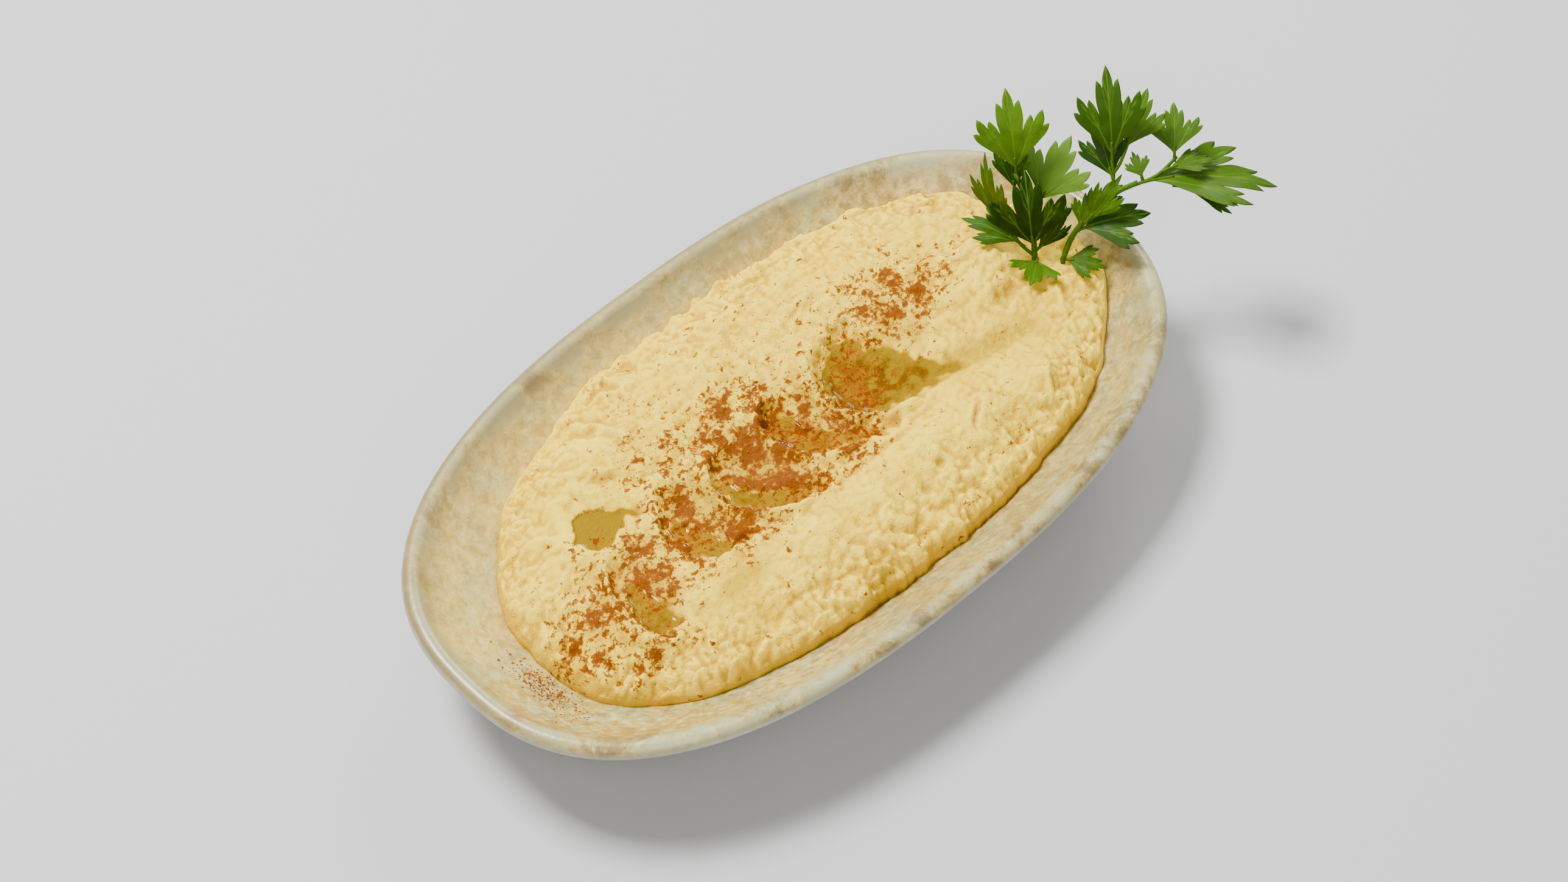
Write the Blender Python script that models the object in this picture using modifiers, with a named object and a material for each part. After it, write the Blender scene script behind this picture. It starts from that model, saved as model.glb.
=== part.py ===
"""An oval stoneware dish filled with hummus, with pools of olive oil and two sprigs of parsley.

Frame: +X along the dish's long axis towards the parsley, +Z up, origin at the centre of the flat
foot, on the surface that the dish stands on. Lengths below are in millimetres; MM turns them into
Blender's metres.
"""

import math

import bmesh
import bpy
import numpy as np
from mathutils import Vector

MM = 0.001
GAP = 0.35  # clearance between neighbouring pieces

# The dish: a superellipse in plan, whose wall rises from a flat floor to a round lip.
DISH_HALF_LENGTH = 120.0
DISH_HALF_WIDTH = 69.2
DISH_POWER = 2.47
DISH_SPOKES = 64
WALL = 5.5
LIP_INSET = WALL / 2
LIP_HEIGHT = 33.25
FLOOR_INSET = 42.0
FLOOR_MID_HEIGHT = 4.0
WALL_POWER = 1.7
WALL_STEPS = 6
LIP_STEPS = 4
FOOT_INSET = 34.0
FOOT_CHAMFER = 0.8

# The hummus: its outline on the wall, and the height of its surface.
HUMMUS_CENTRE = (8.5, 3.5)
HUMMUS_HALF_LENGTH = 99.5
HUMMUS_HALF_WIDTH = 53.5
HUMMUS_POWER = 2.4
HUMMUS_CELLS = (44, 25)
OUTLINE_BULGES = ((-8, 2.5, 7), (127, 2.0, 6), (150, 1.2, 9), (-150, 1.2, 10), (-60, -0.8, 12))
REST_GAP = 0.8  # measured straight down, on the sloping wall
PLATEAU = 31.0
EDGE_RUN = 4.0
EDGE_STEP = 3.6  # height of the rounded edge, on average
EDGE_STEP_CHANGE = 2.2  # how much taller it is on the -Y side, and lower on the +Y side
EDGE_FADE = 12.0  # strip along the edge over which strokes and swells fade in
RISE_RUN = 32.0

# Spoon strokes: centre x, y, heading in degrees, reach forward, reach back, half width, depth, ridge.
SPOON_STROKES = (
    (47.0, 4.0, 208, 6.0, 12.0, 10.0, 2.0, 1.5),
    (31.5, 4.3, 197, 13.0, 17.0, 15.4, 5.0, 3.0),
    (8.0, 2.0, 198, 9.5, 14.0, 13.5, 4.5, 3.0),
    (-11.8, -1.7, 206, 12.5, 10.0, 15.5, 5.0, 3.0),
    (-32.6, 0.5, 196, 12.0, 10.0, 14.0, 5.0, 2.5),
    (-61.2, -7.6, 170, 8.0, 10.0, 15.0, 4.0, 2.0),
    (50.0, -9.0, 160, 9.0, 10.0, 4.0, 2.2, 0.6),
)

# A scoop deepens towards its front; its crest lies just past its rim, a share of it to the sides.
SCOOP_RAMP_POWER = 1.2
CREST_AT = 1.12
CREST_WIDTH = 0.16
CREST_BACK = 0.35

# Long swells and hollows: rise, middle x and y, slant, half width across, half length along.
SWELLS = (
    (3.8, 15.0, -28.0, 0.0, 10.0, 62.0),
    (1.5, 5.0, 33.0, 0.0, 12.0, 70.0),
    (-2.5, -8.0, 2.0, 0.0, 14.0, 62.0),
    (-2.4, 62.0, -12.5, -0.2, 4.0, 17.0),
)

# Soft lumps and hollows: x, y, radius, height.
LUMPS = (
    (84.0, 8.5, 6.5, 5.5),
    (73.0, 3.0, 7.0, 3.5),
    (67.0, -30.0, 7.0, 2.2),
    (72.0, -37.0, 6.0, 1.8),
    (-4.0, -40.0, 7.0, 2.4),
    (-42.0, 36.0, 9.0, 2.0),
    (-60.0, 33.0, 8.0, 1.8),
    (-58.5, 16.5, 7.0, -3.4),
)

# Pools of oil: centre x, y, half length, half width, level.
OIL_POOLS = {
    "oil_pool_large": (36.0, 1.0, 20.0, 17.0, 28.2),
    "oil_pool_middle": (4.0, 4.0, 10.0, 12.0, 27.6),
    "oil_pool_low": (-62.0, -15.0, 9.0, 10.0, 27.6),
    "oil_pool_side": (-58.5, 16.5, 9.0, 7.0, 28.6),
}
POOL_DEPTH = 8.0

# Parsley: stems as routes with a radius, leaves as base, tip, facing direction and width ratio.
STEM_RADIUS = 0.9
STALK_RADIUS = 0.6
LEAF_THICKNESS = 0.7
OPEN_SIDE = (-0.40, -0.42, 0.81)
LEFT_STEMS = (
    (STEM_RADIUS, ((93, -3, 21), (94, 0, 33), (96.5, 5, 45), (95.5, 11, 58))),
    (STALK_RADIUS, ((94, -0.5, 32), (91.5, 3.5, 36.5), (90.5, 6, 41))),
    (STALK_RADIUS, ((96.3, 4, 43), (98, 4.3, 45.5), (99.2, 4.4, 47.2))),
)
LEFT_LEAVES = (
    ((95.5, 10.5, 57), (102, 23, 79), OPEN_SIDE, 0.75),
    ((93.9, 0.2, 34), (97, 9, 60), (-0.7, -0.7, 0.3), 0.8),
    ((90.6, 5.5, 40), (91, 19, 64), (-0.9, 0.1, 0.1), 0.55),
    ((98.8, 4.4, 46.6), (113, 6.5, 64), (-0.5, -0.3, 0.8), 0.9),
    ((94.2, 0.3, 33.5), (104, -2, 48), (-0.3, -0.9, 0.3), 0.5),
    ((92, 3, 36), (84, 20, 39.5), (-0.2, 0.1, 1), 0.6),
    ((93.6, -1.5, 32.5), (83.5, -8.5, 35.4), (-0.2, -0.3, 1), 1.1),
)
RIGHT_STEMS = (
    (STEM_RADIUS, ((97, -8, 20), (98.5, -7, 33), (104, -6.5, 42), (113, -10, 52), (119, -14, 56.5))),
    (STALK_RADIUS, ((113, -10, 52), (115, -8.5, 57), (116, -6.5, 62))),
    (STALK_RADIUS, ((115.2, -8, 58), (117.6, -8.2, 61), (119.8, -7.7, 63.8))),
    (STALK_RADIUS, ((117, -13, 55.3), (124, -16.5, 57.5), (131.5, -17, 60))),
)
RIGHT_LEAVES = (
    ((103.5, -6.7, 41.5), (122, -18, 44), (-0.1, -0.2, 1), 0.9),
    ((114.6, -9.3, 55.5), (119.9, 4.8, 68.8), (-0.5, -0.3, 0.8), 0.65),
    ((115.8, -6.9, 61), (125, 7, 84), OPEN_SIDE, 0.65),
    ((119.5, -7.8, 63.4), (134.5, -1.4, 74), OPEN_SIDE, 0.75),
    ((130.5, -17, 59.7), (139, -7.5, 69.5), OPEN_SIDE, 0.9),
    ((118.6, -13.8, 56.2), (154, -37, 46), (0.1, -0.1, 1), 0.5),
    ((98.6, -7, 33), (105, -18, 33.5), (0.1, -0.5, 1), 0.8),
)

# One leaf is three toothed lobes, each given as its angle from the midrib and its length.
LEAF_LOBES = ((-31, 0.82), (0, 1.0), (31, 0.82))
LOBE_TEETH = ((-1, 0.86), (-0.55, 0.75), (0, 1.0), (0.55, 0.75), (1, 0.86))
TOOTH_ANGLE = 10.0
SINUS_LENGTH = 0.52
LEAF_ARCH = 0.10
LEAF_CUP = 0.25
PETIOLE_SHARE = 0.16  # share of a leaf's length taken by its stalk
PETIOLE_REACH = (-0.05, 0.08, 0.22)


def spoke_points(half_length, half_width, power, count):
    """Points round a superellipse, anticlockwise from +X."""
    turns = np.arange(count) * 2 * math.pi / count
    cosine, sine = np.cos(turns), np.sin(turns)
    x = half_length * np.sign(cosine) * np.abs(cosine) ** (2 / power)
    y = half_width * np.sign(sine) * np.abs(sine) ** (2 / power)
    return x, y


def inset_of(x, y, half_length, half_width, power):
    """How far inside a superellipse a point lies, found by halving the range of possible insets."""
    x, y = np.abs(np.asarray(x, float)), np.abs(np.asarray(y, float))
    low = np.full(x.shape, -30.0)
    high = np.full(x.shape, min(half_length, half_width) - 0.01)
    for _ in range(40):
        middle = (low + high) / 2
        inside = (x / (half_length - middle)) ** power + (y / (half_width - middle)) ** power < 1
        low = np.where(inside, middle, low)
        high = np.where(inside, high, middle)
    return (low + high) / 2


def wall_middle(step):
    """Inset, height and slope of the wall's mid-surface, from the floor (0) to the lip (1)."""
    run = FLOOR_INSET - LIP_INSET
    inset = FLOOR_INSET - run * step
    height = FLOOR_MID_HEIGHT + (LIP_HEIGHT - FLOOR_MID_HEIGHT) * step**WALL_POWER
    slope = (LIP_HEIGHT - FLOOR_MID_HEIGHT) * WALL_POWER * step ** (WALL_POWER - 1) / run
    return inset, height, math.atan(slope)


def wall_side(step, side):
    """A point of the wall's inner (+1) or outer (-1) face, as inset and height."""
    inset, height, slope = wall_middle(step)
    return inset + side * WALL / 2 * math.sin(slope), height + side * WALL / 2 * math.cos(slope)


def dish_profile():
    """The dish's section from the floor, up the inner face, over the lip and down to the foot."""
    inner = [wall_side(k / WALL_STEPS, 1) for k in range(WALL_STEPS + 1)]
    outer = [wall_side(k / WALL_STEPS, -1) for k in range(WALL_STEPS + 1)]
    inset, height, slope = wall_middle(1.0)
    lip = []
    for k in range(1, LIP_STEPS):
        turn = slope - math.pi * k / LIP_STEPS
        lip.append((inset + WALL / 2 * math.sin(turn), height + WALL / 2 * math.cos(turn)))
    outer = [point for point in reversed(outer) if point[0] < FOOT_INSET - 2]
    foot_top = np.interp(FOOT_INSET, *zip(*[wall_side(k / 40, -1) for k in range(40, -1, -1)]))
    foot = [(FOOT_INSET, foot_top), (FOOT_INSET, FOOT_CHAMFER), (FOOT_INSET + FOOT_CHAMFER, 0.0)]
    return inner + lip + outer + foot


def wall_height(inset):
    """Height of the dish's inner face at an inset; the floor is flat."""
    steps = [wall_side(k / 60, 1) for k in range(60, -1, -1)]
    return np.interp(inset, *zip(*steps))


def new_collection(name, is_guide=False):
    collection = bpy.data.collections.new(name)
    collection.hide_render = is_guide
    bpy.context.scene.collection.children.link(collection)
    return collection


def new_material(name, color, roughness, metallic=0.0):
    material = bpy.data.materials.new(name)
    material.use_nodes = True
    shader = material.node_tree.nodes["Principled BSDF"]
    shader.inputs["Base Color"].default_value = (*color, 1.0)
    shader.inputs["Roughness"].default_value = roughness
    shader.inputs["Metallic"].default_value = metallic
    return material


def add_object(name, mesh, collection, material=None):
    solid = bpy.data.objects.new(name, mesh)
    collection.objects.link(solid)
    if material:
        mesh.materials.append(material)
    return solid


def finish_mesh(bm, name):
    """Turns a bmesh in millimetres into a mesh in metres with its faces pointing out."""
    bmesh.ops.recalc_face_normals(bm, faces=bm.faces)
    bmesh.ops.scale(bm, vec=(MM, MM, MM), verts=bm.verts)
    mesh = bpy.data.meshes.new(name)
    bm.to_mesh(mesh)
    bm.free()
    return mesh


def add_ring(bm, x, y, z):
    return [bm.verts.new(point) for point in zip(x, y, z)]


def bridge(bm, ring, other):
    for k in range(len(ring)):
        after = (k + 1) % len(ring)
        bm.faces.new((ring[k], ring[after], other[after], other[k]))


def make_dish():
    """A loft of superellipses, closed by the flat floor and the flat foot."""
    bm = bmesh.new()
    rings = []
    for inset, height in dish_profile():
        x, y = spoke_points(DISH_HALF_LENGTH - inset, DISH_HALF_WIDTH - inset, DISH_POWER, DISH_SPOKES)
        rings.append(add_ring(bm, x, y, np.full(DISH_SPOKES, height)))
    for ring, other in zip(rings, rings[1:]):
        bridge(bm, ring, other)
    bm.faces.new(rings[0])
    bm.faces.new(rings[-1])
    return finish_mesh(bm, "dish")


def outline_scale(x, y):
    """How much the hummus's outline bulges past its superellipse, by direction from its centre."""
    angle = np.degrees(np.arctan2(y - HUMMUS_CENTRE[1], x - HUMMUS_CENTRE[0]))
    scale = np.ones_like(angle)
    for at, height, width in OUTLINE_BULGES:
        away = (angle - at + 180) % 360 - 180
        reach = np.hypot(HUMMUS_HALF_LENGTH * math.cos(math.radians(at)), HUMMUS_HALF_WIDTH)
        scale += height / reach * np.exp(-((away / width) ** 2))
    return scale


def hummus_inset(x, y):
    """How far inside the hummus's outline a point lies."""
    scale = outline_scale(x, y)
    return inset_of(
        (x - HUMMUS_CENTRE[0]) / scale,
        (y - HUMMUS_CENTRE[1]) / scale,
        HUMMUS_HALF_LENGTH,
        HUMMUS_HALF_WIDTH,
        HUMMUS_POWER,
    )


def quarter_round(share):
    return np.sqrt(1 - (1 - np.clip(share, 0, 1)) ** 2)


def ease(share):
    return 1 - (1 - np.clip(share, 0, 1)) ** 2


def spoon_stroke(x, y, stroke):
    """One scoop: deep behind its curved front wall, shallow at the back, with a ridge pushed up."""
    centre_x, centre_y, heading, forward, back, half_width, depth, ridge = stroke
    turn = math.radians(heading)
    along = (x - centre_x) * math.cos(turn) + (y - centre_y) * math.sin(turn)
    across = -(x - centre_x) * math.sin(turn) + (y - centre_y) * math.cos(turn)
    reach = np.where(along > 0, forward, back)
    radius = np.hypot(along / reach, across / half_width)
    front = np.clip((along + back) / (forward + back), 0, 1)
    scoop = -depth * np.clip(1 - radius**4, 0, 1) * front**SCOOP_RAMP_POWER
    crest = ridge * np.exp(-(((radius - CREST_AT) / CREST_WIDTH) ** 2))
    crest = crest * np.clip(CREST_BACK + along / forward, 0, 1)
    return scoop + crest


def hummus_height(x, y):
    """Height of the hummus's surface."""
    inset = hummus_inset(x, y)
    side = np.clip((HUMMUS_CENTRE[1] - y) / HUMMUS_HALF_WIDTH, -1, 1)
    step = EDGE_STEP + EDGE_STEP_CHANGE * side
    dish_inset = inset_of(x, y, DISH_HALF_LENGTH, DISH_HALF_WIDTH, DISH_POWER)
    foot = wall_height(dish_inset - inset) + REST_GAP
    height = foot + step * quarter_round(inset / EDGE_RUN)
    height = height + (PLATEAU - foot - step) * ease(inset / RISE_RUN)
    change = np.zeros_like(height)
    for rise, at_x, at_y, slant, half_width, half_length in SWELLS:
        across = (y - at_y - slant * (x - at_x)) / half_width
        change += rise * np.exp(-(across**2)) * np.exp(-(((x - at_x) / half_length) ** 4))
    for stroke in SPOON_STROKES:
        change += spoon_stroke(x, y, stroke)
    for at_x, at_y, radius, rise in LUMPS:
        change += rise * np.exp(-((x - at_x) ** 2 + (y - at_y) ** 2) / radius**2)
    return height + change * ease(inset / EDGE_FADE)


def grid_to_outline(u, v):
    """Moves a point of the square -1 to 1 into the hummus's outline, spreading the cells evenly."""
    disc_x = u * np.sqrt(1 - v * v / 2)
    disc_y = v * np.sqrt(1 - u * u / 2)
    radius = np.hypot(disc_x, disc_y)
    turn = np.arctan2(disc_y, disc_x)
    cosine, sine = np.cos(turn), np.sin(turn)
    x = radius * HUMMUS_HALF_LENGTH * np.sign(cosine) * np.abs(cosine) ** (2 / HUMMUS_POWER)
    y = radius * HUMMUS_HALF_WIDTH * np.sign(sine) * np.abs(sine) ** (2 / HUMMUS_POWER)
    x, y = x + HUMMUS_CENTRE[0], y + HUMMUS_CENTRE[1]
    scale = outline_scale(x, y)
    x = HUMMUS_CENTRE[0] + (x - HUMMUS_CENTRE[0]) * scale
    y = HUMMUS_CENTRE[1] + (y - HUMMUS_CENTRE[1]) * scale
    return x, y


def floor_points(x, y):
    """The points of the dish's floor edge that lie in the same directions from its centre."""
    half_length = DISH_HALF_LENGTH - FLOOR_INSET - 1
    half_width = DISH_HALF_WIDTH - FLOOR_INSET - 1
    across = np.abs(x / half_length) ** DISH_POWER + np.abs(y / half_width) ** DISH_POWER
    reach = across ** (1 / DISH_POWER)
    return x / reach, y / reach


def make_hummus():
    """A grid laid over the outline, lifted to the surface, and closed along the dish's inner face."""
    bm = bmesh.new()
    columns, rows = HUMMUS_CELLS
    bmesh.ops.create_grid(bm, x_segments=columns, y_segments=rows, size=1.0)
    flat = np.array([vert.co[:2] for vert in bm.verts])
    x, y = grid_to_outline(flat[:, 0], flat[:, 1])
    for vert, point in zip(bm.verts, zip(x, y, hummus_height(x, y))):
        vert.co = point
    centre = Vector((*HUMMUS_CENTRE, 0))
    rim = {vert for edge in bm.edges if edge.is_boundary for vert in edge.verts}
    rim = sorted(rim, key=lambda vert: math.atan2(vert.co.y - centre.y, vert.co.x - centre.x))
    edge_x = np.array([vert.co.x for vert in rim])
    edge_y = np.array([vert.co.y for vert in rim])
    floor_x, floor_y = floor_points(edge_x, edge_y)
    for share in (0.35, 0.7, 1.0):
        x = edge_x + (floor_x - edge_x) * share
        y = edge_y + (floor_y - edge_y) * share
        inset = inset_of(x, y, DISH_HALF_LENGTH, DISH_HALF_WIDTH, DISH_POWER)
        ring = add_ring(bm, x, y, wall_height(inset) + REST_GAP)
        bridge(bm, rim, ring)
        rim = ring
    bm.faces.new(rim)
    bmesh.ops.triangulate(bm, faces=bm.faces)
    return finish_mesh(bm, "hummus")


def apply_all(solid):
    """Replaces an object's mesh with its evaluated one and drops its modifiers."""
    graph = bpy.context.evaluated_depsgraph_get()
    mesh = bpy.data.meshes.new_from_object(solid.evaluated_get(graph))
    solid.modifiers.clear()
    solid.data = mesh


def combine(solid, others, operation, solver="EXACT"):
    """Joins the others to an object, or cuts them from it, and removes them."""
    for other in others:
        boolean = solid.modifiers.new(other.name, "BOOLEAN")
        boolean.operation = operation
        boolean.object = other
        boolean.solver = solver
    apply_all(solid)
    for other in others:
        bpy.data.objects.remove(other, do_unlink=True)


def stem_tube(route, radius, guides, steps=2, clearance=0.0):
    """A round stem along a smooth route, made as a curve and turned into a closed mesh."""
    curve = bpy.data.curves.new("stem", "CURVE")
    curve.dimensions = "3D"
    curve.bevel_depth = (radius + clearance) * MM
    curve.bevel_resolution = 1
    curve.use_fill_caps = True
    spline = curve.splines.new("POLY")
    points = smooth_route([Vector(point) for point in route], steps)
    points[0] = points[0] + (points[0] - points[1]).normalized() * clearance
    spline.points.add(len(points) - 1)
    for slot, point in zip(spline.points, points):
        slot.co = (*(point * MM), 1)
    guide = add_object("stem_curve", curve, guides)
    bpy.context.view_layer.update()
    graph = bpy.context.evaluated_depsgraph_get()
    mesh = bpy.data.meshes.new_from_object(guide.evaluated_get(graph))
    bpy.data.objects.remove(guide, do_unlink=True)
    bm = bmesh.new()
    bm.from_mesh(mesh)
    bmesh.ops.remove_doubles(bm, verts=bm.verts, dist=0.01 * MM)
    bmesh.ops.recalc_face_normals(bm, faces=bm.faces)
    bm.to_mesh(mesh)
    bm.free()
    return add_object("stem", mesh, guides)


def smooth_route(points, steps):
    """Points along a Catmull-Rom curve through the given ones."""
    ends = [points[0] * 2 - points[1]] + points + [points[-1] * 2 - points[-2]]
    route = [points[0]]
    for a, b, c, d in zip(ends, ends[1:], ends[2:], ends[3:]):
        for k in range(1, steps + 1):
            t = k / steps
            bend = (2 * a - 5 * b + 4 * c - d) * t * t + (3 * b - a - 3 * c + d) * t**3
            route.append((2 * b + (c - a) * t + bend) / 2)
    return route


def leaf_rim():
    """A wedge-shaped leaf's outline as angle and length from its base, in lobes of three teeth."""
    rim = []
    for angle, length in LEAF_LOBES:
        for offset, share in LOBE_TEETH:
            rim.append((angle + offset * TOOTH_ANGLE, length * share))
        rim.append((angle + TOOTH_ANGLE * 1.55, SINUS_LENGTH))
    return rim[:-1]


def leaf_point(leaf, along, across):
    """A point of an arched, cupped leaf, in shares of its length along and across its midrib."""
    base, tip, facing, width = leaf
    base, facing = Vector(base), Vector(facing)
    span = Vector(tip) - base
    forward = span.normalized()
    upward = (facing - forward * forward.dot(facing)).normalized()
    lift = LEAF_ARCH * 4 * along * (1 - along) + LEAF_CUP * (across * width) ** 2
    return base + (forward * along + upward.cross(forward) * across * width + upward * lift) * span.length


def make_leaf(leaf, guides):
    """A leaf's stalk, and its blade as a fan of cells given a thickness."""
    bm = bmesh.new()

    def blade_vert(angle, reach):
        reach = reach * (1 - PETIOLE_SHARE)
        along = PETIOLE_SHARE + reach * math.cos(math.radians(angle))
        return bm.verts.new(leaf_point(leaf, along, reach * math.sin(math.radians(angle))) * MM)

    edge = [blade_vert(angle, reach) for angle, reach in leaf_rim()]
    root = blade_vert(0, 0)
    for vert, after in zip(edge, edge[1:]):
        bm.faces.new((root, vert, after))
    mesh = bpy.data.meshes.new("leaf")
    bm.to_mesh(mesh)
    bm.free()
    blade = add_object("leaf", mesh, guides)
    shell = blade.modifiers.new("thickness", "SOLIDIFY")
    shell.thickness = LEAF_THICKNESS * MM
    shell.offset = 0
    apply_all(blade)
    route = [leaf_point(leaf, along, 0) for along in PETIOLE_REACH]
    return [stem_tube(route, STALK_RADIUS, guides, steps=1), blade]


def make_sprig(name, stems, leaves, material, collection, guides):
    """One sprig of parsley: its stems and leaves grown into a single solid."""
    tubes = [stem_tube(route, radius, guides) for radius, route in stems]
    blades = [piece for leaf in leaves for piece in make_leaf(leaf, guides)]
    sprig = tubes.pop(0)
    combine(sprig, tubes + blades, "UNION", "MANIFOLD")
    keep_largest_piece(sprig)
    guides.objects.unlink(sprig)
    collection.objects.link(sprig)
    sprig.name = name
    sprig.data.materials.clear()
    sprig.data.materials.append(material)
    return sprig


def keep_largest_piece(solid):
    """Drops all but the largest connected piece of a mesh, by its number of points."""
    bm = bmesh.new()
    bm.from_mesh(solid.data)
    left = set(bm.verts)
    pieces = []
    while left:
        piece, edge = set(), [next(iter(left))]
        while edge:
            vert = edge.pop()
            if vert in piece:
                continue
            piece.add(vert)
            edge += [link.other_vert(vert) for link in vert.link_edges]
        left -= piece
        pieces.append(piece)
    pieces.sort(key=len)
    spare = [vert for piece in pieces[:-1] for vert in piece]
    bmesh.ops.delete(bm, geom=spare, context="VERTS")
    bm.to_mesh(solid.data)
    bm.free()


def make_pool(name, pool, hummus, collection, guides, material):
    """Oil up to its level: a thin disc, less the hummus raised by the gap between the two."""
    centre_x, centre_y, half_length, half_width, level = pool
    bm = bmesh.new()
    bmesh.ops.create_cone(
        bm, segments=24, cap_ends=True, radius1=1, radius2=1, depth=POOL_DEPTH
    )
    bmesh.ops.scale(bm, vec=(half_length, half_width, 1), verts=bm.verts)
    bmesh.ops.translate(bm, vec=(centre_x, centre_y, level - POOL_DEPTH / 2), verts=bm.verts)
    solid = add_object(name, finish_mesh(bm, name), collection)
    raised = add_object("raised_hummus", hummus.data.copy(), guides)
    raised.location.z = GAP * MM
    bpy.context.view_layer.update()
    combine(solid, [raised], "DIFFERENCE")
    keep_largest_piece(solid)
    solid.data.materials.clear()
    solid.data.materials.append(material)
    return solid


def main():
    for old in list(bpy.data.objects):
        bpy.data.objects.remove(old, do_unlink=True)
    parts = new_collection("hummus_dish")
    guides = new_collection("cutters", is_guide=True)

    stoneware = new_material("stoneware", (0.66, 0.58, 0.43), 0.35)
    cream = new_material("hummus", (0.84, 0.70, 0.42), 0.4)
    oil = new_material("olive_oil", (0.62, 0.50, 0.04), 0.08)
    leaf_green = new_material("parsley", (0.09, 0.22, 0.02), 0.45)

    add_object("dish", make_dish(), parts, stoneware)
    hummus = add_object("hummus", make_hummus(), parts, cream)
    sockets = [
        stem_tube(route, radius, guides, clearance=GAP)
        for radius, route in (LEFT_STEMS[0], RIGHT_STEMS[0])
    ]
    combine(hummus, sockets, "DIFFERENCE")
    for name, pool in OIL_POOLS.items():
        make_pool(name, pool, hummus, parts, guides, oil)
    make_sprig("parsley_sprig_left", LEFT_STEMS, LEFT_LEAVES, leaf_green, parts, guides)
    make_sprig("parsley_sprig_right", RIGHT_STEMS, RIGHT_LEAVES, leaf_green, parts, guides)


main()
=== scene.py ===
"""The looks of an oval stoneware dish of hummus, with olive oil, paprika and flat parsley.

Lengths are in millimetres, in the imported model's frame: +X along the dish's long axis towards the
parsley, +Z up, origin at the centre of the foot. MM turns them into Blender's metres.
"""

import math

import bmesh
import bpy
import numpy as np
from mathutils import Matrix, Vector


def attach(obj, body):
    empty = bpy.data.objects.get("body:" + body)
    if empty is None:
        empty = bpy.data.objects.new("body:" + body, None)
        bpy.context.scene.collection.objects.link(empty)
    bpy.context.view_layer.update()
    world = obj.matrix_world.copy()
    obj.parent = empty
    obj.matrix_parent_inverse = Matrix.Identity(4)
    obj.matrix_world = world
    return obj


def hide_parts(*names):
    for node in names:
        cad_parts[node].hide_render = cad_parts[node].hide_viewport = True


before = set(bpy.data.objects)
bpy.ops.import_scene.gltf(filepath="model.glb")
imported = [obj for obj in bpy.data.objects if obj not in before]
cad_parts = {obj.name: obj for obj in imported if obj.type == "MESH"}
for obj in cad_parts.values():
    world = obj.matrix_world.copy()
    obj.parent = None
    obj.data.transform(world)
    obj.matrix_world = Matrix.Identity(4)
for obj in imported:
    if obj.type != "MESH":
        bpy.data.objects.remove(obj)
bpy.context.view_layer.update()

MM = 0.001

# The dish, as it is in the frame.
DISH_HALF_LENGTH = 120.0
DISH_HALF_WIDTH = 69.2
DISH_POWER = 2.47
WALL = 5.5
LIP_INSET = WALL / 2
LIP_HEIGHT = 33.25
FLOOR_INSET = 42.0
FLOOR_MID_HEIGHT = 4.0
WALL_POWER = 1.7
FOOT_INSET = 34.0
DISH_SPOKES = 288

# The hummus, as it is in the frame.
CENTRE_X, CENTRE_Y = 8.5, 3.5
HUMMUS_HALF_LENGTH = 99.5
HUMMUS_HALF_WIDTH = 53.5
HUMMUS_POWER = 2.4
# Bulges of the outline: direction in degrees, height, width in degrees.
OUTLINE_BULGES = ((-8, 2.5, 7), (127, 2.0, 6), (150, 1.2, 9), (-150, 1.2, 10), (-60, -0.8, 12))
PLATEAU = 31.0
EDGE_RUN = 4.0
RISE_RUN = 32.0
HUMMUS_CELLS = (412, 226)

# Spoon strokes: centre x, y, heading in degrees, reach forward, reach back, half width, depth, ridge.
SPOON_STROKES = (
    (47.0, 4.0, 208, 6.0, 12.0, 10.0, 2.0, 1.5),
    (31.5, 4.3, 197, 13.0, 17.0, 15.4, 5.0, 3.0),
    (8.0, 2.0, 198, 9.5, 14.0, 13.5, 4.5, 3.0),
    (-11.8, -1.7, 206, 12.5, 10.0, 15.5, 5.0, 3.0),
    (-32.6, 0.5, 196, 12.0, 10.0, 14.0, 5.0, 2.5),
    (-61.2, -7.6, 170, 8.0, 10.0, 15.0, 4.0, 2.0),
    (50.0, -9.0, 160, 9.0, 10.0, 4.0, 2.2, 0.6),
)

# Soft lumps and hollows: x, y, radius, height.
LUMPS = (
    (84.0, 8.5, 6.5, 5.5),
    (73.0, 3.0, 7.0, 3.5),
    (67.0, -30.0, 7.0, 2.2),
    (72.0, -37.0, 6.0, 1.8),
    (-4.0, -40.0, 7.0, 2.4),
    (-42.0, 36.0, 9.0, 2.0),
    (-60.0, 33.0, 8.0, 1.8),
    (-58.5, 16.5, 7.0, -3.4),
)

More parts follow.
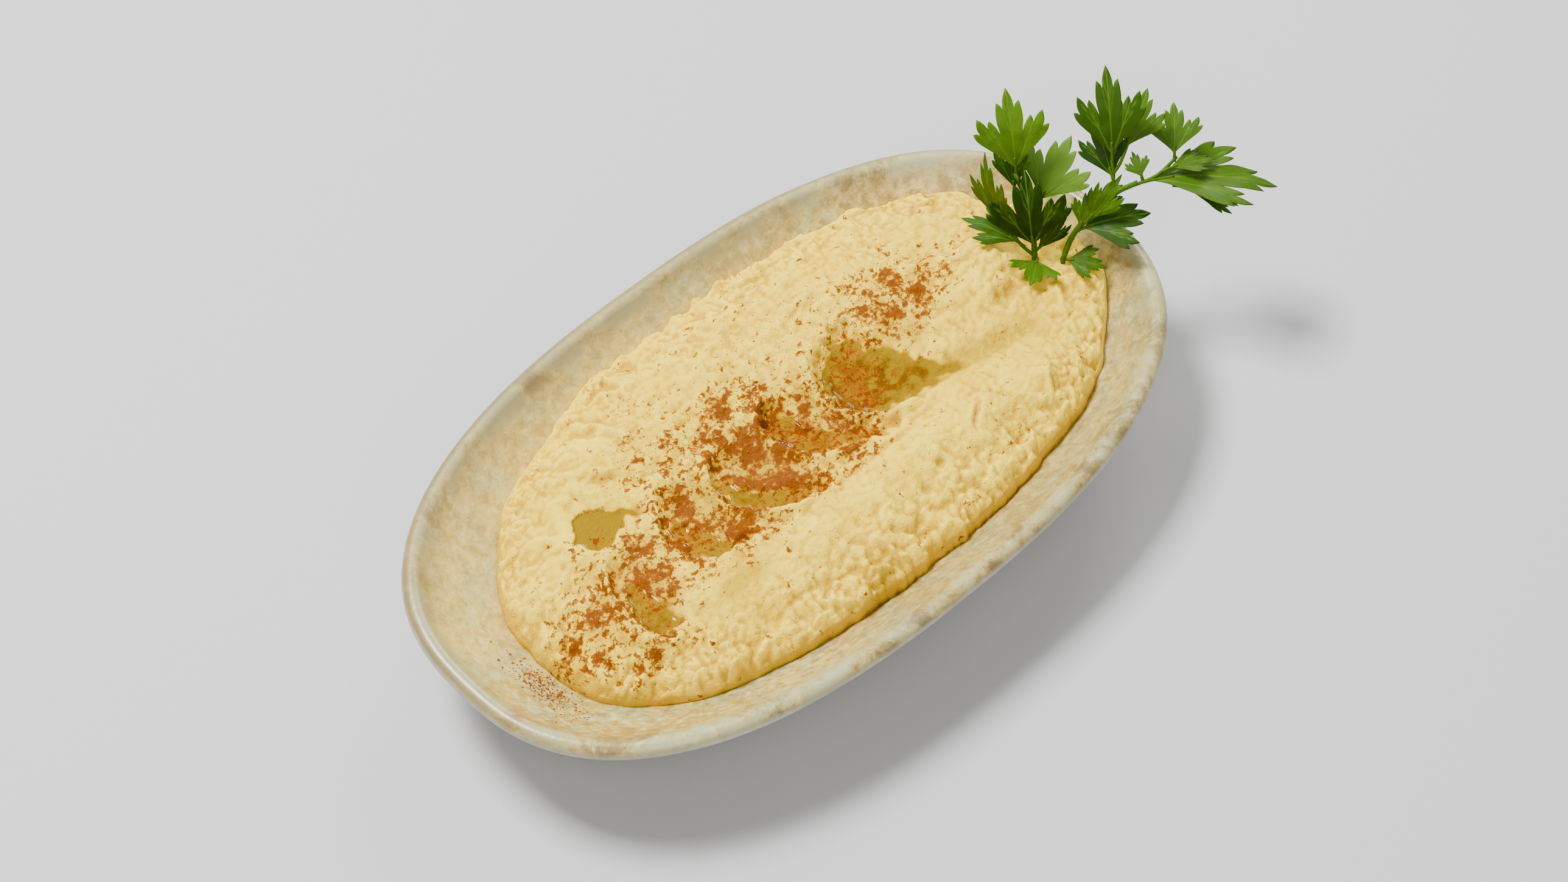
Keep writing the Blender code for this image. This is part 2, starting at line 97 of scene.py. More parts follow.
# Folds (height above 0) and creases (below 0): from x, y to x, y, half width, height.
FOLDS = (
    (48, -25, 39, -31, 1.1, -1.5),
    (51, -22, 44, -30, 1.6, 1.3),
    (-8, -37, -2, -47, 1.6, 1.9),
    (-1, -34, 6, -42, 1.5, 1.5),
    (-12, -41, -9, -48, 1.5, 1.3),
    (-42, 48, -35, 39, 1.6, 1.9),
    (-35, 39, -33, 30, 1.6, 1.5),
    (-38, 47, -31, 38, 1.3, -1.2),
    (-50, 30, -42, 27, 1.5, 1.3),
    (-60, 40, -52, 30, 2.0, 1.1),
    (-75, 28, -66, 18, 1.8, 1.0),
    (-90, 15, -80, 10, 1.8, 0.9),
    (60, -38, 70, -30, 2.0, 1.5),
    (73, -40, 80, -30, 1.8, 1.4),
    (86, -20, 92, -10, 1.8, 1.3),
    (66, -42, 74, -36, 1.2, -1.0),
    (30, -45, 40, -42, 1.5, 1.0),
    (-30, -40, -20, -46, 1.6, 1.1),
    (-60, -38, -50, -42, 1.7, 1.1),
    (12, 30, 40, 36, 1.6, 0.7),
    (-10, 34, 16, 44, 1.8, 0.7),
    (76, 14, 88, 16, 1.8, 1.6),
    (72, -2, 84, 0, 1.6, 1.3),
    (40, -18, -20, -20, 1.2, -0.7),
)

# Small holes that a spoon left: x, y, radius, depth.
HOLES = ((24.0, -33.0, 1.3, 2.0), (15.4, -36.5, 1.6, 1.4), (8.5, -41.5, 1.3, 1.3))

# Oil pools: the node replaced (None for a film that the model lacks), the level of the oil, how far
# the hummus bends down to it with how deep it gets, the shore line.
OIL_POOLS = (
    ("oil_pool_large", 28.2, (2.0, 3.0), (
        (38, 20), (30, 17.5), (23.5, 14), (19, 7), (19.5, 0), (24, -6.5), (30.5, -9), (38, -11),
        (46, -10.5), (56, -12.5), (50, -6.5), (48, -1), (45.5, 1), (44.5, 6), (39, 11), (38, 15),
    )),
    ("oil_pool_middle", 27.6, (2.2, 1.8), (
        (3, 13.5), (-1, 9), (-1.5, 3), (1, -1.5), (5.6, -5.5), (13.5, -10.5), (25, -13), (16, -6),
        (9.5, -1), (8, 5), (7, 10),
    )),
    (None, 26.9, (2.2, 1.5), (
        (-21, 8), (-25, 2), (-24, -5), (-20, -9), (-12, -13.5), (-3, -15), (-10, -8), (-16, -4), (-19, 1),
    )),
    (None, 27.0, (2.2, 1.5), (
        (-40, 8), (-45, 1), (-44, -7.5), (-38.5, -12.3), (-31, -13), (-35, -6), (-38.5, 0),
    )),
    ("oil_pool_low", 28.1, (3.0, 1.2), (
        (-64, -2), (-68.5, -10), (-69.5, -17), (-66, -22), (-60.5, -20), (-59.5, -12), (-60.5, -6),
    )),
    ("oil_pool_side", 29.7, (4.0, 0.6), (
        (-59.7, 24.8), (-54.2, 21.1), (-47.5, 16.1), (-44.1, 11.7), (-50.9, 12.5), (-56.5, 9.8),
        (-63, 10.7), (-65.9, 16.2),
    )),
)
SHORE_SLOPE = 0.3

# Where paprika fell: x, y, radius, strength.
PAPRIKA = (
    (57, 25, 5, 0.7), (58, 14, 6, 0.9), (50, 9, 7, 0.9), (48, 19, 6, 0.6), (75, 20, 7, 0.35),
    (36, 16, 7, 0.6), (25, 12, 8, 0.6), (24, 2, 9, 0.8), (3, 2, 9, 0.9), (11, -7, 9, 0.9),
    (18, -10, 7, 0.6), (-2, 12, 9, 0.7), (-5, -14, 6, 0.6),
    (-6, 21, 9, 0.7), (-15, 12, 9, 0.9), (-14, 2, 10, 1.0), (-8, -7, 9, 1.0), (-35, 9, 8, 0.8),
    (-39, -2, 8, 1.0), (-29, -8, 9, 0.9), (-25, 21, 9, 0.55), (-24, 41, 5, 0.5), (8, -15, 6, 0.5),
    (-59, 3, 7, 0.8), (-59, -8, 7, 0.9), (-69, 1, 8, 0.6), (-81, 1, 7, 0.45), (-80, -9, 8, 0.5),
    (-64, 10, 8, 0.4), (-52, -8, 7, 0.5), (6, 8, 8, 0.5), (33, 6, 6, 0.5),
    (62, 20, 10, 0.5), (67, 13, 8, 0.4), (42, 27, 8, 0.35), (-40, 24, 8, 0.45), (-50, 8, 8, 0.5),
    (-72, -8, 10, 0.65), (-66, -20, 7, 0.6), (-88, -8, 7, 0.5), (-35, -18, 6, 0.35), (-48, -4, 7, 0.6),
    (-76, -21, 7, 0.4), (-22, -15, 7, 0.55), (-45, -13, 7, 0.55), (10, 25, 30, 0.22),
)

# The way towards which the leaves open.
OPEN_SIDE = (-0.40, -0.42, 0.81)

# Linear colours: the glaze and the dish outside, the paste with oil and paprika, the parsley, the floor.
# Some are painted light and shade: on the glaze and lip by side of the dish, in the paste's hollows and on
# its crests, and in the leaves' tones.
GLAZE_TAN = (0.42, 0.28, 0.055)
GLAZE_CREAM = (0.64, 0.47, 0.115)
GLAZE_MINT = (0.36, 0.39, 0.17)
GLAZE_RUST = (0.58, 0.34, 0.07)
GLAZE_PALE = (0.76, 0.66, 0.27)
GLAZE_DARK = (0.27, 0.185, 0.045)
# Painted shade towards the dish's near right and painted light towards its far left.
GLAZE_PAINTED_SHADE = (0.25, 0.185, 0.065)
GLAZE_PAINTED_LIGHT = (0.78, 0.62, 0.20)
GLAZE_SPECK = (0.12, 0.08, 0.02)
LIP_CREAM = (0.38, 0.37, 0.18)
LIP_BROWN = (0.12, 0.08, 0.025)
# Painted shade on the lip towards the dish's far left.
LIP_PAINTED_SHADE = (0.20, 0.155, 0.065)
LIP_LINE = (0.17, 0.115, 0.035)
SHELL_DARK = (0.40, 0.34, 0.24)
SHELL_PALE = (0.52, 0.47, 0.38)
PASTE_DEEP = (0.80, 0.49, 0.006)
PASTE_PALE = (0.93, 0.65, 0.03)
# Painted shade in the paste's hollows and painted light on its crests.
PASTE_HOLLOW_SHADE = (0.42, 0.23, 0.004)
PASTE_CREST_LIGHT = (0.97, 0.72, 0.06)
PASTE_OILY = (0.44, 0.27, 0.0)
OIL_SHALLOW = (0.27, 0.18, 0.0)
OIL_DEEP = (0.15, 0.06, 0.0)
OIL_TINT = (1.0, 0.94, 0.08, 1.0)
PASTE_STAINED = (0.48, 0.22, 0.0)
PAPRIKA_THIN = (0.33, 0.112, 0.0)
PAPRIKA_THICK = (0.17, 0.040, 0.0)
GRAIN_DARK = (0.15, 0.036, 0.0)
GRAIN_LIGHT = (0.31, 0.10, 0.0)
# Ends of the leaves' tones, partly their own colour, partly painted shade and painted light.
LEAF_DARK_SHADED = (0.004, 0.019, 0.0003)
LEAF_LIGHT_LIT = (0.065, 0.14, 0.0004)
LEAF_PATCH = (0.02, 0.065, 0.0005)
LEAF_GREY = (0.10, 0.19, 0.022)
LEAF_VEIN = (0.10, 0.20, 0.012)
FLOOR_GREY = (0.475, 0.475, 0.475, 1.0)
WHITE = (1.0, 1.0, 1.0, 1.0)

# The camera: what it looks at in millimetres, degrees, metres away, degrees of view across.
CAMERA_TARGET = (-2.86, 1.04, 33.0)
CAMERA_AZIMUTH = -43.2
CAMERA_ELEVATION = 54.4
CAMERA_DISTANCE = 0.969
CAMERA_VIEW = 25.0
CAMERA_SENSOR = 36.0

# Soft lamps, all aimed at the dish: name, place in metres, size in metres, watts.
LAMPS = (
    ("window", (-0.22, 0.72, 1.50), (0.5, 0.45), 66.0),
    ("near_fill", (-0.75, -1.05, 1.35), (1.2, 1.2), 17.0),
    ("back_right", (1.25, 0.65, 0.85), (0.5, 0.8), 16.0),
)
ROOM_LIGHT = 0.45
FLOOR_SIZE = 6.0

# Loose grains of paprika, and those that fell on the dish's wall: middle, spread, how much larger.
GRAINS = 9000
GRAIN_RADIUS = 0.13
SPILL_GRAINS = 900
SPILL_X, SPILL_Y = (-97, 2.6), (-6, 6.5)
SPILL_GROWTH = 1.7

# Oil surfaces: how far past the shore each is made, how far it is kept, its cells.
POOL_MARGIN = 1.5
POOL_LAP = 0.75
POOL_STEP = 0.45


def power_curve(turns, half_length, half_width, power):
    """Points of a superellipse at the given turns."""
    cosine, sine = np.cos(turns), np.sin(turns)
    x = half_length * np.sign(cosine) * np.abs(cosine) ** (2 / power)
    y = half_width * np.sign(sine) * np.abs(sine) ** (2 / power)
    return x, y


def inset_of(x, y, half_length, half_width, power):
    """How far inside a superellipse a point lies, found by halving the range of possible insets."""
    x, y = np.abs(np.asarray(x, float)), np.abs(np.asarray(y, float))
    low = np.full(x.shape, -30.0)
    high = np.full(x.shape, min(half_length, half_width) - 0.01)
    for _ in range(26):
        middle = (low + high) / 2
        inside = (x / (half_length - middle)) ** power + (y / (half_width - middle)) ** power < 1
        low = np.where(inside, middle, low)
        high = np.where(inside, high, middle)
    return (low + high) / 2


def dish_inset(x, y):
    return inset_of(x, y, DISH_HALF_LENGTH, DISH_HALF_WIDTH, DISH_POWER)


def wall_side(step, side):
    """A point of the dish wall's inner (+1) or outer (-1) face, as inset and height."""
    run = FLOOR_INSET - LIP_INSET
    rise = LIP_HEIGHT - FLOOR_MID_HEIGHT
    inset = FLOOR_INSET - run * step
    height = FLOOR_MID_HEIGHT + rise * step**WALL_POWER
    slope = math.atan(rise * WALL_POWER * step ** (WALL_POWER - 1) / run)
    return inset + side * WALL / 2 * math.sin(slope), height + side * WALL / 2 * math.cos(slope)


# The inner wall from lip to floor, as inset and height.
WALL_CURVE = np.array([wall_side(k / 80, 1) for k in range(80, -1, -1)])


def wall_height(inset):
    return np.interp(inset, WALL_CURVE[:, 0], WALL_CURVE[:, 1])


def smooth_noise(x, y, size, seed):
    """Gradient noise of about -1 to 1, with features of the given size."""
    cells = 256
    angles = np.random.default_rng(seed).uniform(0, 2 * math.pi, (cells, cells))
    x, y = np.asarray(x) / size + 77, np.asarray(y) / size + 77
    column, row = np.floor(x).astype(int), np.floor(y).astype(int)
    x, y = x - column, y - row

    def corner(right, up):
        angle = angles[(column + right) % cells, (row + up) % cells]
        return np.cos(angle) * (x - right) + np.sin(angle) * (y - up)

    blend_x = x**3 * (x * (x * 6 - 15) + 10)
    blend_y = y**3 * (y * (y * 6 - 15) + 10)
    low = corner(0, 0) + (corner(1, 0) - corner(0, 0)) * blend_x
    high = corner(0, 1) + (corner(1, 1) - corner(0, 1)) * blend_x
    return 1.5 * (low + (high - low) * blend_y)


def blobs(x, y, size, seed):
    """Rounded lumps packed side by side: 1 at a lump's middle, down to 0 in the creases."""
    cells = 256
    rng = np.random.default_rng(seed)
    jitter = rng.uniform(0.1, 0.9, (cells, cells, 2))
    rise = rng.uniform(0.55, 1.0, (cells, cells))
    x, y = np.asarray(x) / size + 77, np.asarray(y) / size + 77
    column, row = np.floor(x).astype(int), np.floor(y).astype(int)
    best = np.zeros(x.shape)
    for right in (-1, 0, 1):
        for up in (-1, 0, 1):
            at = ((column + right) % cells, (row + up) % cells)
            away = np.hypot(column + right + jitter[at][..., 0] - x, row + up + jitter[at][..., 1] - y)
            best = np.maximum(best, rise[at] * np.clip(1 - 0.9 * away**2, 0, 1))
    return best


def outline_scale(x, y):
    """How much the hummus's outline bulges past its superellipse, by direction from its centre."""
    angle = np.degrees(np.arctan2(y - CENTRE_Y, x - CENTRE_X))
    scale = np.ones_like(angle)
    for at, height, width in OUTLINE_BULGES:
        away = (angle - at + 180) % 360 - 180
        reach = np.hypot(HUMMUS_HALF_LENGTH * math.cos(math.radians(at)), HUMMUS_HALF_WIDTH)
        scale += height / reach * np.exp(-((away / width) ** 2))
    edge_x, edge_y = power_curve(np.radians(angle), HUMMUS_HALF_LENGTH, HUMMUS_HALF_WIDTH, HUMMUS_POWER)
    ragged = 1.5 * smooth_noise(edge_x, edge_y, 13.0, 21) + 1.6 * (blobs(edge_x, edge_y, 4.2, 22) - 0.6)
    return scale + ragged / np.hypot(edge_x, edge_y)


def hummus_inset(x, y):
    scale = outline_scale(x, y)
    x, y = (x - CENTRE_X) / scale, (y - CENTRE_Y) / scale
    return inset_of(x, y, HUMMUS_HALF_LENGTH, HUMMUS_HALF_WIDTH, HUMMUS_POWER)


def quarter_round(share):
    return np.sqrt(1 - (1 - np.clip(share, 0, 1)) ** 2)


def ease(share):
    return 1 - (1 - np.clip(share, 0, 1)) ** 2


def hill(x, y, at_x, at_y, radius):
    return np.exp(-((x - at_x) ** 2 + (y - at_y) ** 2) / radius**2)


def spoon_stroke(x, y, stroke):
    """One scoop: deep behind its curved front wall, shallow at the back, with a ridge pushed up."""
    centre_x, centre_y, heading, forward, back, half_width, depth, ridge = stroke
    turn = math.radians(heading)
    along = (x - centre_x) * math.cos(turn) + (y - centre_y) * math.sin(turn)
    across = -(x - centre_x) * math.sin(turn) + (y - centre_y) * math.cos(turn)
    reach = np.where(along > 0, forward, back)
    radius = np.hypot(along / reach, across / half_width)
    front = np.clip((along + back) / (forward + back), 0, 1)
    scoop = -depth * np.clip(1 - radius**4, 0, 1) * front**1.2
    crest = ridge * np.exp(-(((radius - 1.12) / 0.16) ** 2)) * np.clip(0.35 + along / forward, 0, 1)
    return scoop + crest, np.clip(1 - radius**4, 0, 1)


def shore_distance(x, y, shore):
    """Distance from a closed shore line, negative inside, with the corners softened by noise."""
    x, y = x + 1.7 * smooth_noise(x, y, 3.2, 51), y + 1.7 * smooth_noise(x, y, 3.2, 52)
    away = np.full(x.shape, 1e9)
    inside = np.zeros(x.shape, bool)
    for (x1, y1), (x2, y2) in zip(shore, shore[1:] + shore[:1]):
        edge_x, edge_y = x2 - x1, y2 - y1
        share = np.clip(((x - x1) * edge_x + (y - y1) * edge_y) / (edge_x**2 + edge_y**2), 0, 1)
        away = np.minimum(away, np.hypot(x - x1 - share * edge_x, y - y1 - share * edge_y))
        crosses = (y1 > y) != (y2 > y)
        level_x = x1 + edge_x * (y - y1) / (edge_y or 1e-9)
        inside ^= crosses & (x < level_x)
    return np.where(inside, -away, away)


def settle_shores(x, y, height):
    """Shapes the hummus so that each pool's level meets it along the pool's shore line."""
    for _, level, (reach, deepest), shore in OIL_POOLS:
        away = shore_distance(x, y, shore)
        near = np.exp(-((away / reach) ** 2))
        height = np.where(away < 0, np.minimum(height, level + SHORE_SLOPE * away), height)
        height = height + (level + SHORE_SLOPE * away - height) * near * (away >= 0)
        height = np.where(away < 0, np.maximum(height, level - np.minimum(deepest, 1.2 * -away)), height)
    return height


def fold_change(x, y):
    """What the folds and creases add, each fading out at its ends."""
    x, y = x + 1.5 * smooth_noise(x, y, 5.0, 61), y + 1.5 * smooth_noise(x, y, 5.0, 62)
    change = np.zeros_like(x)
    for x1, y1, x2, y2, half_width, height in FOLDS:
        length = math.hypot(x2 - x1, y2 - y1)
        share = ((x - x1) * (x2 - x1) + (y - y1) * (y2 - y1)) / length**2
        away = ((x - x1) * (y2 - y1) - (y - y1) * (x2 - x1)) / length
        ends = np.clip(1 - (2 * share - 1) ** 4, 0, 1)
        change += height * np.exp(-((away / half_width) ** 2)) * ends
        change -= 0.4 * height * np.exp(-(((away - 2 * half_width) / half_width) ** 2)) * ends
    return change


def hummus_height(x, y):
    """Height of the hummus's surface, and how far each point is inside a spoon stroke."""
    inset = hummus_inset(x, y)
    side = np.clip((CENTRE_Y - y) / HUMMUS_HALF_WIDTH, -1, 1)
    cliff = 3.6 + 2.2 * side
    foot = wall_height(dish_inset(x, y) - inset) - 0.15
    bank = 3.8 * np.exp(-(((y + 28) / 10) ** 2)) * np.exp(-(((x - 15) / 62) ** 4))
    far_bank = 1.5 * np.exp(-(((y - 33) / 12) ** 2)) * np.exp(-(((x - 5) / 70) ** 4))
    trough = -2.5 * np.exp(-(((y - 2) / 14) ** 2)) * np.exp(-(((x + 8) / 62) ** 4))
    tail = -2.4 * np.exp(-(((y + 12.5 + 0.2 * (x - 62)) / 4.0) ** 2)) * np.exp(-(((x - 62) / 17) ** 4))
    height = foot + cliff * quarter_round(inset / EDGE_RUN)
    height = height + (PLATEAU - foot - cliff) * ease(inset / RISE_RUN)
    middle = ease(inset / 12)
    height = height + (bank + far_bank + trough + tail) * middle
    scooped = np.zeros_like(height)
    for stroke in SPOON_STROKES:
        change, within = spoon_stroke(x, y, stroke)
        height = height + change * middle
        scooped = np.maximum(scooped, within)
    for at_x, at_y, radius, rise in LUMPS:
        height = height + rise * hill(x, y, at_x, at_y, radius) * middle
    for at_x, at_y, radius, depth in HOLES:
        height = height - depth * hill(x, y, at_x, at_y, radius)
    height = height + fold_change(x, y) * np.clip(inset / 4, 0, 1)
    grain = hummus_grain(x, y, inset, scooped)
    return settle_shores(x, y, height + grain), scooped


def hummus_grain(x, y, inset, scooped):
    """The paste's lumps, furrows and fine grain: rough at the edges, smoother where it was spooned."""
    rough = np.clip(1.5 - inset / 12, 0.28, 1.2)
    rough = np.maximum(rough, 0.9 * hill(x, y, 82, 8, 16))
    rough = np.maximum(rough, 0.8 * hill(x, y, -3, -40, 12))
    rough = rough * (1 - 0.5 * scooped) * np.clip(0.85 + 0.7 * smooth_noise(x, y, 17.0, 9), 0.25, 1.5)
    warp_x = x + 1.4 * smooth_noise(x, y, 5.0, 3)
    warp_y = y + 1.4 * smooth_noise(x, y, 5.0, 4)
    coarse = blobs(warp_x * 0.9, warp_y, 4.6, 11) - 0.6
    medium = blobs(warp_x + 9, warp_y, 2.5, 12) - 0.6
    fine = blobs(x, y, 1.4, 13) - 0.6
    waves = smooth_noise(x, y, 11.0, 5) + 0.6 * smooth_noise(x, y, 5.0, 8)
    furrows = smooth_noise(x * 0.3, y, 3.0, 6)
    edge = np.clip(inset / 1.2, 0, 1)
    lumps = rough * (3.1 * coarse + 2.3 * medium + 0.8 * fine)
    grain = 0.5 * waves + 0.16 * furrows * (1 - scooped) + 0.22 * fine + 0.35 * medium + lumps
    return grain * edge


def grid_to_outline(u, v):
    """Moves a point of the square -1 to 1 into the hummus's outline, spreading the cells evenly."""
    disc_x = u * np.sqrt(1 - v * v / 2)
    disc_y = v * np.sqrt(1 - u * u / 2)
    radius = np.hypot(disc_x, disc_y)
    turn = np.arctan2(disc_y, disc_x)
    x, y = power_curve(turn, HUMMUS_HALF_LENGTH, HUMMUS_HALF_WIDTH, HUMMUS_POWER)
    scale = outline_scale(x + CENTRE_X, y + CENTRE_Y)
    return CENTRE_X + x * radius * scale, CENTRE_Y + y * radius * scale


def paprika_density(x, y):
    """How thickly paprika lies, from 0 to 1."""
    bare = np.ones_like(x)
    for at_x, at_y, radius, strength in PAPRIKA:
        bare = bare * (1 - strength * 0.8 * hill(x, y, at_x, at_y, radius))
    patchy = 0.9 + 0.6 * smooth_noise(x, y, 6.5, 71)
    return np.clip((1 - bare) * patchy, 0, 1)


def pool_depth(x, y, height):
    """Depth of oil over each point of the hummus, 0 outside the pools."""
    depth = np.zeros_like(height)
    for _, level, _, shore in OIL_POOLS:
        away = shore_distance(x, y, shore)
        depth = np.where(away < 0, np.maximum(depth, level - height), depth)
    return np.clip(depth, 0, 5)


def mesh_from(name, points, faces, smooth=True):
    mesh = bpy.data.meshes.new(name)
    mesh.from_pydata([tuple(point) for point in np.asarray(points) * MM], [], faces)
    mesh.validate()
    if smooth:
        mesh.shade_smooth()
    piece = bpy.data.objects.new(name, mesh)
    bpy.context.scene.collection.objects.link(piece)
    return piece


def set_attribute(piece, name, values, kind="FLOAT"):
    """Writes one number, or one vector, for each point of a piece's mesh."""
    layer = piece.data.attributes.new(name, kind, "POINT")
    field = "value" if kind == "FLOAT" else "vector"
    layer.data.foreach_set(field, np.asarray(values, np.float32).ravel())


def grid_faces(rows, columns, start=0):
    """Quads of a grid whose points are numbered row by row."""
    index = start + np.arange(rows * columns).reshape(rows, columns)
    corners = (index[:-1, :-1], index[:-1, 1:], index[1:, 1:], index[1:, :-1])
    return np.stack([corner.ravel() for corner in corners], 1).tolist()


def ring_faces(rings, count, start=0):
    """Quads between closed rings of points, each of the same count."""
    index = start + np.arange(rings * count).reshape(rings, count)
    after = np.roll(index, -1, axis=1)
    corners = (index[:-1], after[:-1], after[1:], index[1:])
    return np.stack([corner.ravel() for corner in corners], 1).tolist()


class Nodes:
    """A short way to build a material's node tree."""

    def __init__(self, name):
        self.material = bpy.data.materials.new(name)
        self.material.use_nodes = True
        self.tree = self.material.node_tree
        self.shader = self.tree.nodes["Principled BSDF"]

    def link(self, value, socket):
        if isinstance(value, bpy.types.NodeSocket):
            self.tree.links.new(value, socket)
        else:
            socket.default_value = value

    def add(self, kind, inputs=(), output=0, **settings):
        node = self.tree.nodes.new(kind)
        for key, value in settings.items():
            setattr(node, key, value)
        for key, value in dict(inputs).items():
            self.link(value, node.inputs[key])
        return node.outputs[output]

    def set(self, **values):
        for key, value in values.items():
            self.link(value, self.shader.inputs[key.replace("_", " ")])

    def math(self, operation, first, second):
        return self.add("ShaderNodeMath", {0: first, 1: second}, operation=operation)

    def noise(self, vector, scale, detail=3.0, roughness=0.55, distortion=0.0):
        inputs = {"Vector": vector, "Scale": scale, "Detail": detail, "Roughness": roughness}
        inputs["Distortion"] = distortion
        return self.add("ShaderNodeTexNoise", inputs)

    def ramp(self, value, low, high):
        """0 below low, 1 above high and a smooth step between."""
        inputs = {"Value": value, "From Min": low, "From Max": high}
        return self.add("ShaderNodeMapRange", inputs, interpolation_type="SMOOTHSTEP")

    def mix(self, share, first, second):
        node = self.tree.nodes.new("ShaderNodeMix")
        node.data_type = "RGBA"
        for value, key in ((share, 0), (first, 6), (second, 7)):
            value = (*value, 1.0) if isinstance(value, tuple) and len(value) == 3 else value
            self.link(value, node.inputs[key])
        return node.outputs[2]

    def over(self, color, mask, share, paint):
        """Paint laid over a colour where a mask from 0 to 1 is high, up to a share."""
        return self.mix(self.math("MULTIPLY", mask, share), color, paint)

    def attribute(self, name, output="Fac"):
        node = self.tree.nodes.new("ShaderNodeAttribute")
        node.attribute_name = name
        return node.outputs[output]

    def bump(self, height, distance, strength=1.0, normal=None):
        inputs = {"Height": height, "Distance": distance, "Strength": strength}
        if normal is not None:
            inputs["Normal"] = normal
        return self.add("ShaderNodeBump", inputs)

    def place(self):
        return self.add("ShaderNodeTexCoord", output="Object")


def stoneware_material():
    """A satin reactive glaze: beige mottled with cream, mint and tan, with specks and a brown lip, and
    painted shade towards the dish's near right with painted light towards its far left.
    """
    m = Nodes("stoneware_glaze")
    place = m.place()
    band = m.attribute("glaze_place", "Vector")
    streak = m.add("ShaderNodeMapping", {"Vector": band, "Scale": (1.0, 0.25, 0.0)})
    clouds = m.noise(place, 38.0, 6.0, 0.62, 0.8)
    patches = m.noise(place, 75.0, 5.0, 0.66, 0.6)
    streaks = m.noise(streak, 0.16, 5.0, 0.65, 1.0)
    mottle = m.noise(place, 330.0, 4.0, 0.7, 0.3)
    color = m.mix(m.ramp(clouds, 0.36, 0.62), GLAZE_TAN, GLAZE_CREAM)
    color = m.over(color, m.ramp(patches, 0.47, 0.60), 0.85, GLAZE_MINT)
    color = m.over(color, m.ramp(streaks, 0.48, 0.66), 0.45, GLAZE_RUST)
    color = m.over(color, m.ramp(mottle, 0.5, 0.68), 0.7, GLAZE_PALE)
    color = m.over(color, m.ramp(mottle, 0.52, 0.36), 0.85, GLAZE_DARK)
    # Painted shade and painted light: the glaze darkens towards the near right of the dish and lightens
    # towards its far left, standing in for how the light falls on its walls.
    painted_shading_side = m.attribute("painted_shading_side")
    color = m.over(color, m.ramp(painted_shading_side, 0.35, 1.0), 0.5, GLAZE_PAINTED_SHADE)
    color = m.over(color, m.ramp(painted_shading_side, 0.35, 0.0), 0.3, GLAZE_PAINTED_LIGHT)
    speckle = m.noise(place, 1500.0, 3.0, 0.7)
    color = m.over(color, m.ramp(speckle, 0.60, 0.70), 0.5, GLAZE_SPECK)
    lip = m.attribute("lip")
    crown = m.noise(place, 55.0, 6.0, 0.7, 0.8)
    color = m.mix(m.math("MULTIPLY", lip, m.ramp(crown, 0.42, 0.62)), color, LIP_CREAM)
    brown = m.math("MULTIPLY", m.ramp(crown, 0.50, 0.36), lip)
    color = m.over(color, brown, 0.7, LIP_BROWN)
    # Painted shade on the lip, darker towards the far left.
    lip_painted_shade = m.math("MULTIPLY", lip, m.ramp(painted_shading_side, 0.45, 0.1))
    color = m.over(color, lip_painted_shade, 0.5, LIP_PAINTED_SHADE)
    line = m.math("MULTIPLY", m.attribute("lip_line"), m.ramp(crown, 0.34, 0.52))
    color = m.over(color, line, 0.75, LIP_LINE)
    shell = m.mix(m.ramp(clouds, 0.4, 0.6), SHELL_DARK, SHELL_PALE)
    color = m.mix(m.attribute("outside"), color, shell)
    gloss = m.add("ShaderNodeMapRange", {"Value": patches, "To Min": 0.30, "To Max": 0.48})
    m.set(Base_Color=color, Roughness=gloss)
    fine = m.noise(place, 500.0, 3.0)
    m.set(Normal=m.bump(fine, 0.0003, 0.35, m.bump(clouds, 0.001, 0.3)))
    m.shader.inputs["Coat Weight"].default_value = 0.2
    m.shader.inputs["Coat Roughness"].default_value = 0.15
    return m.material


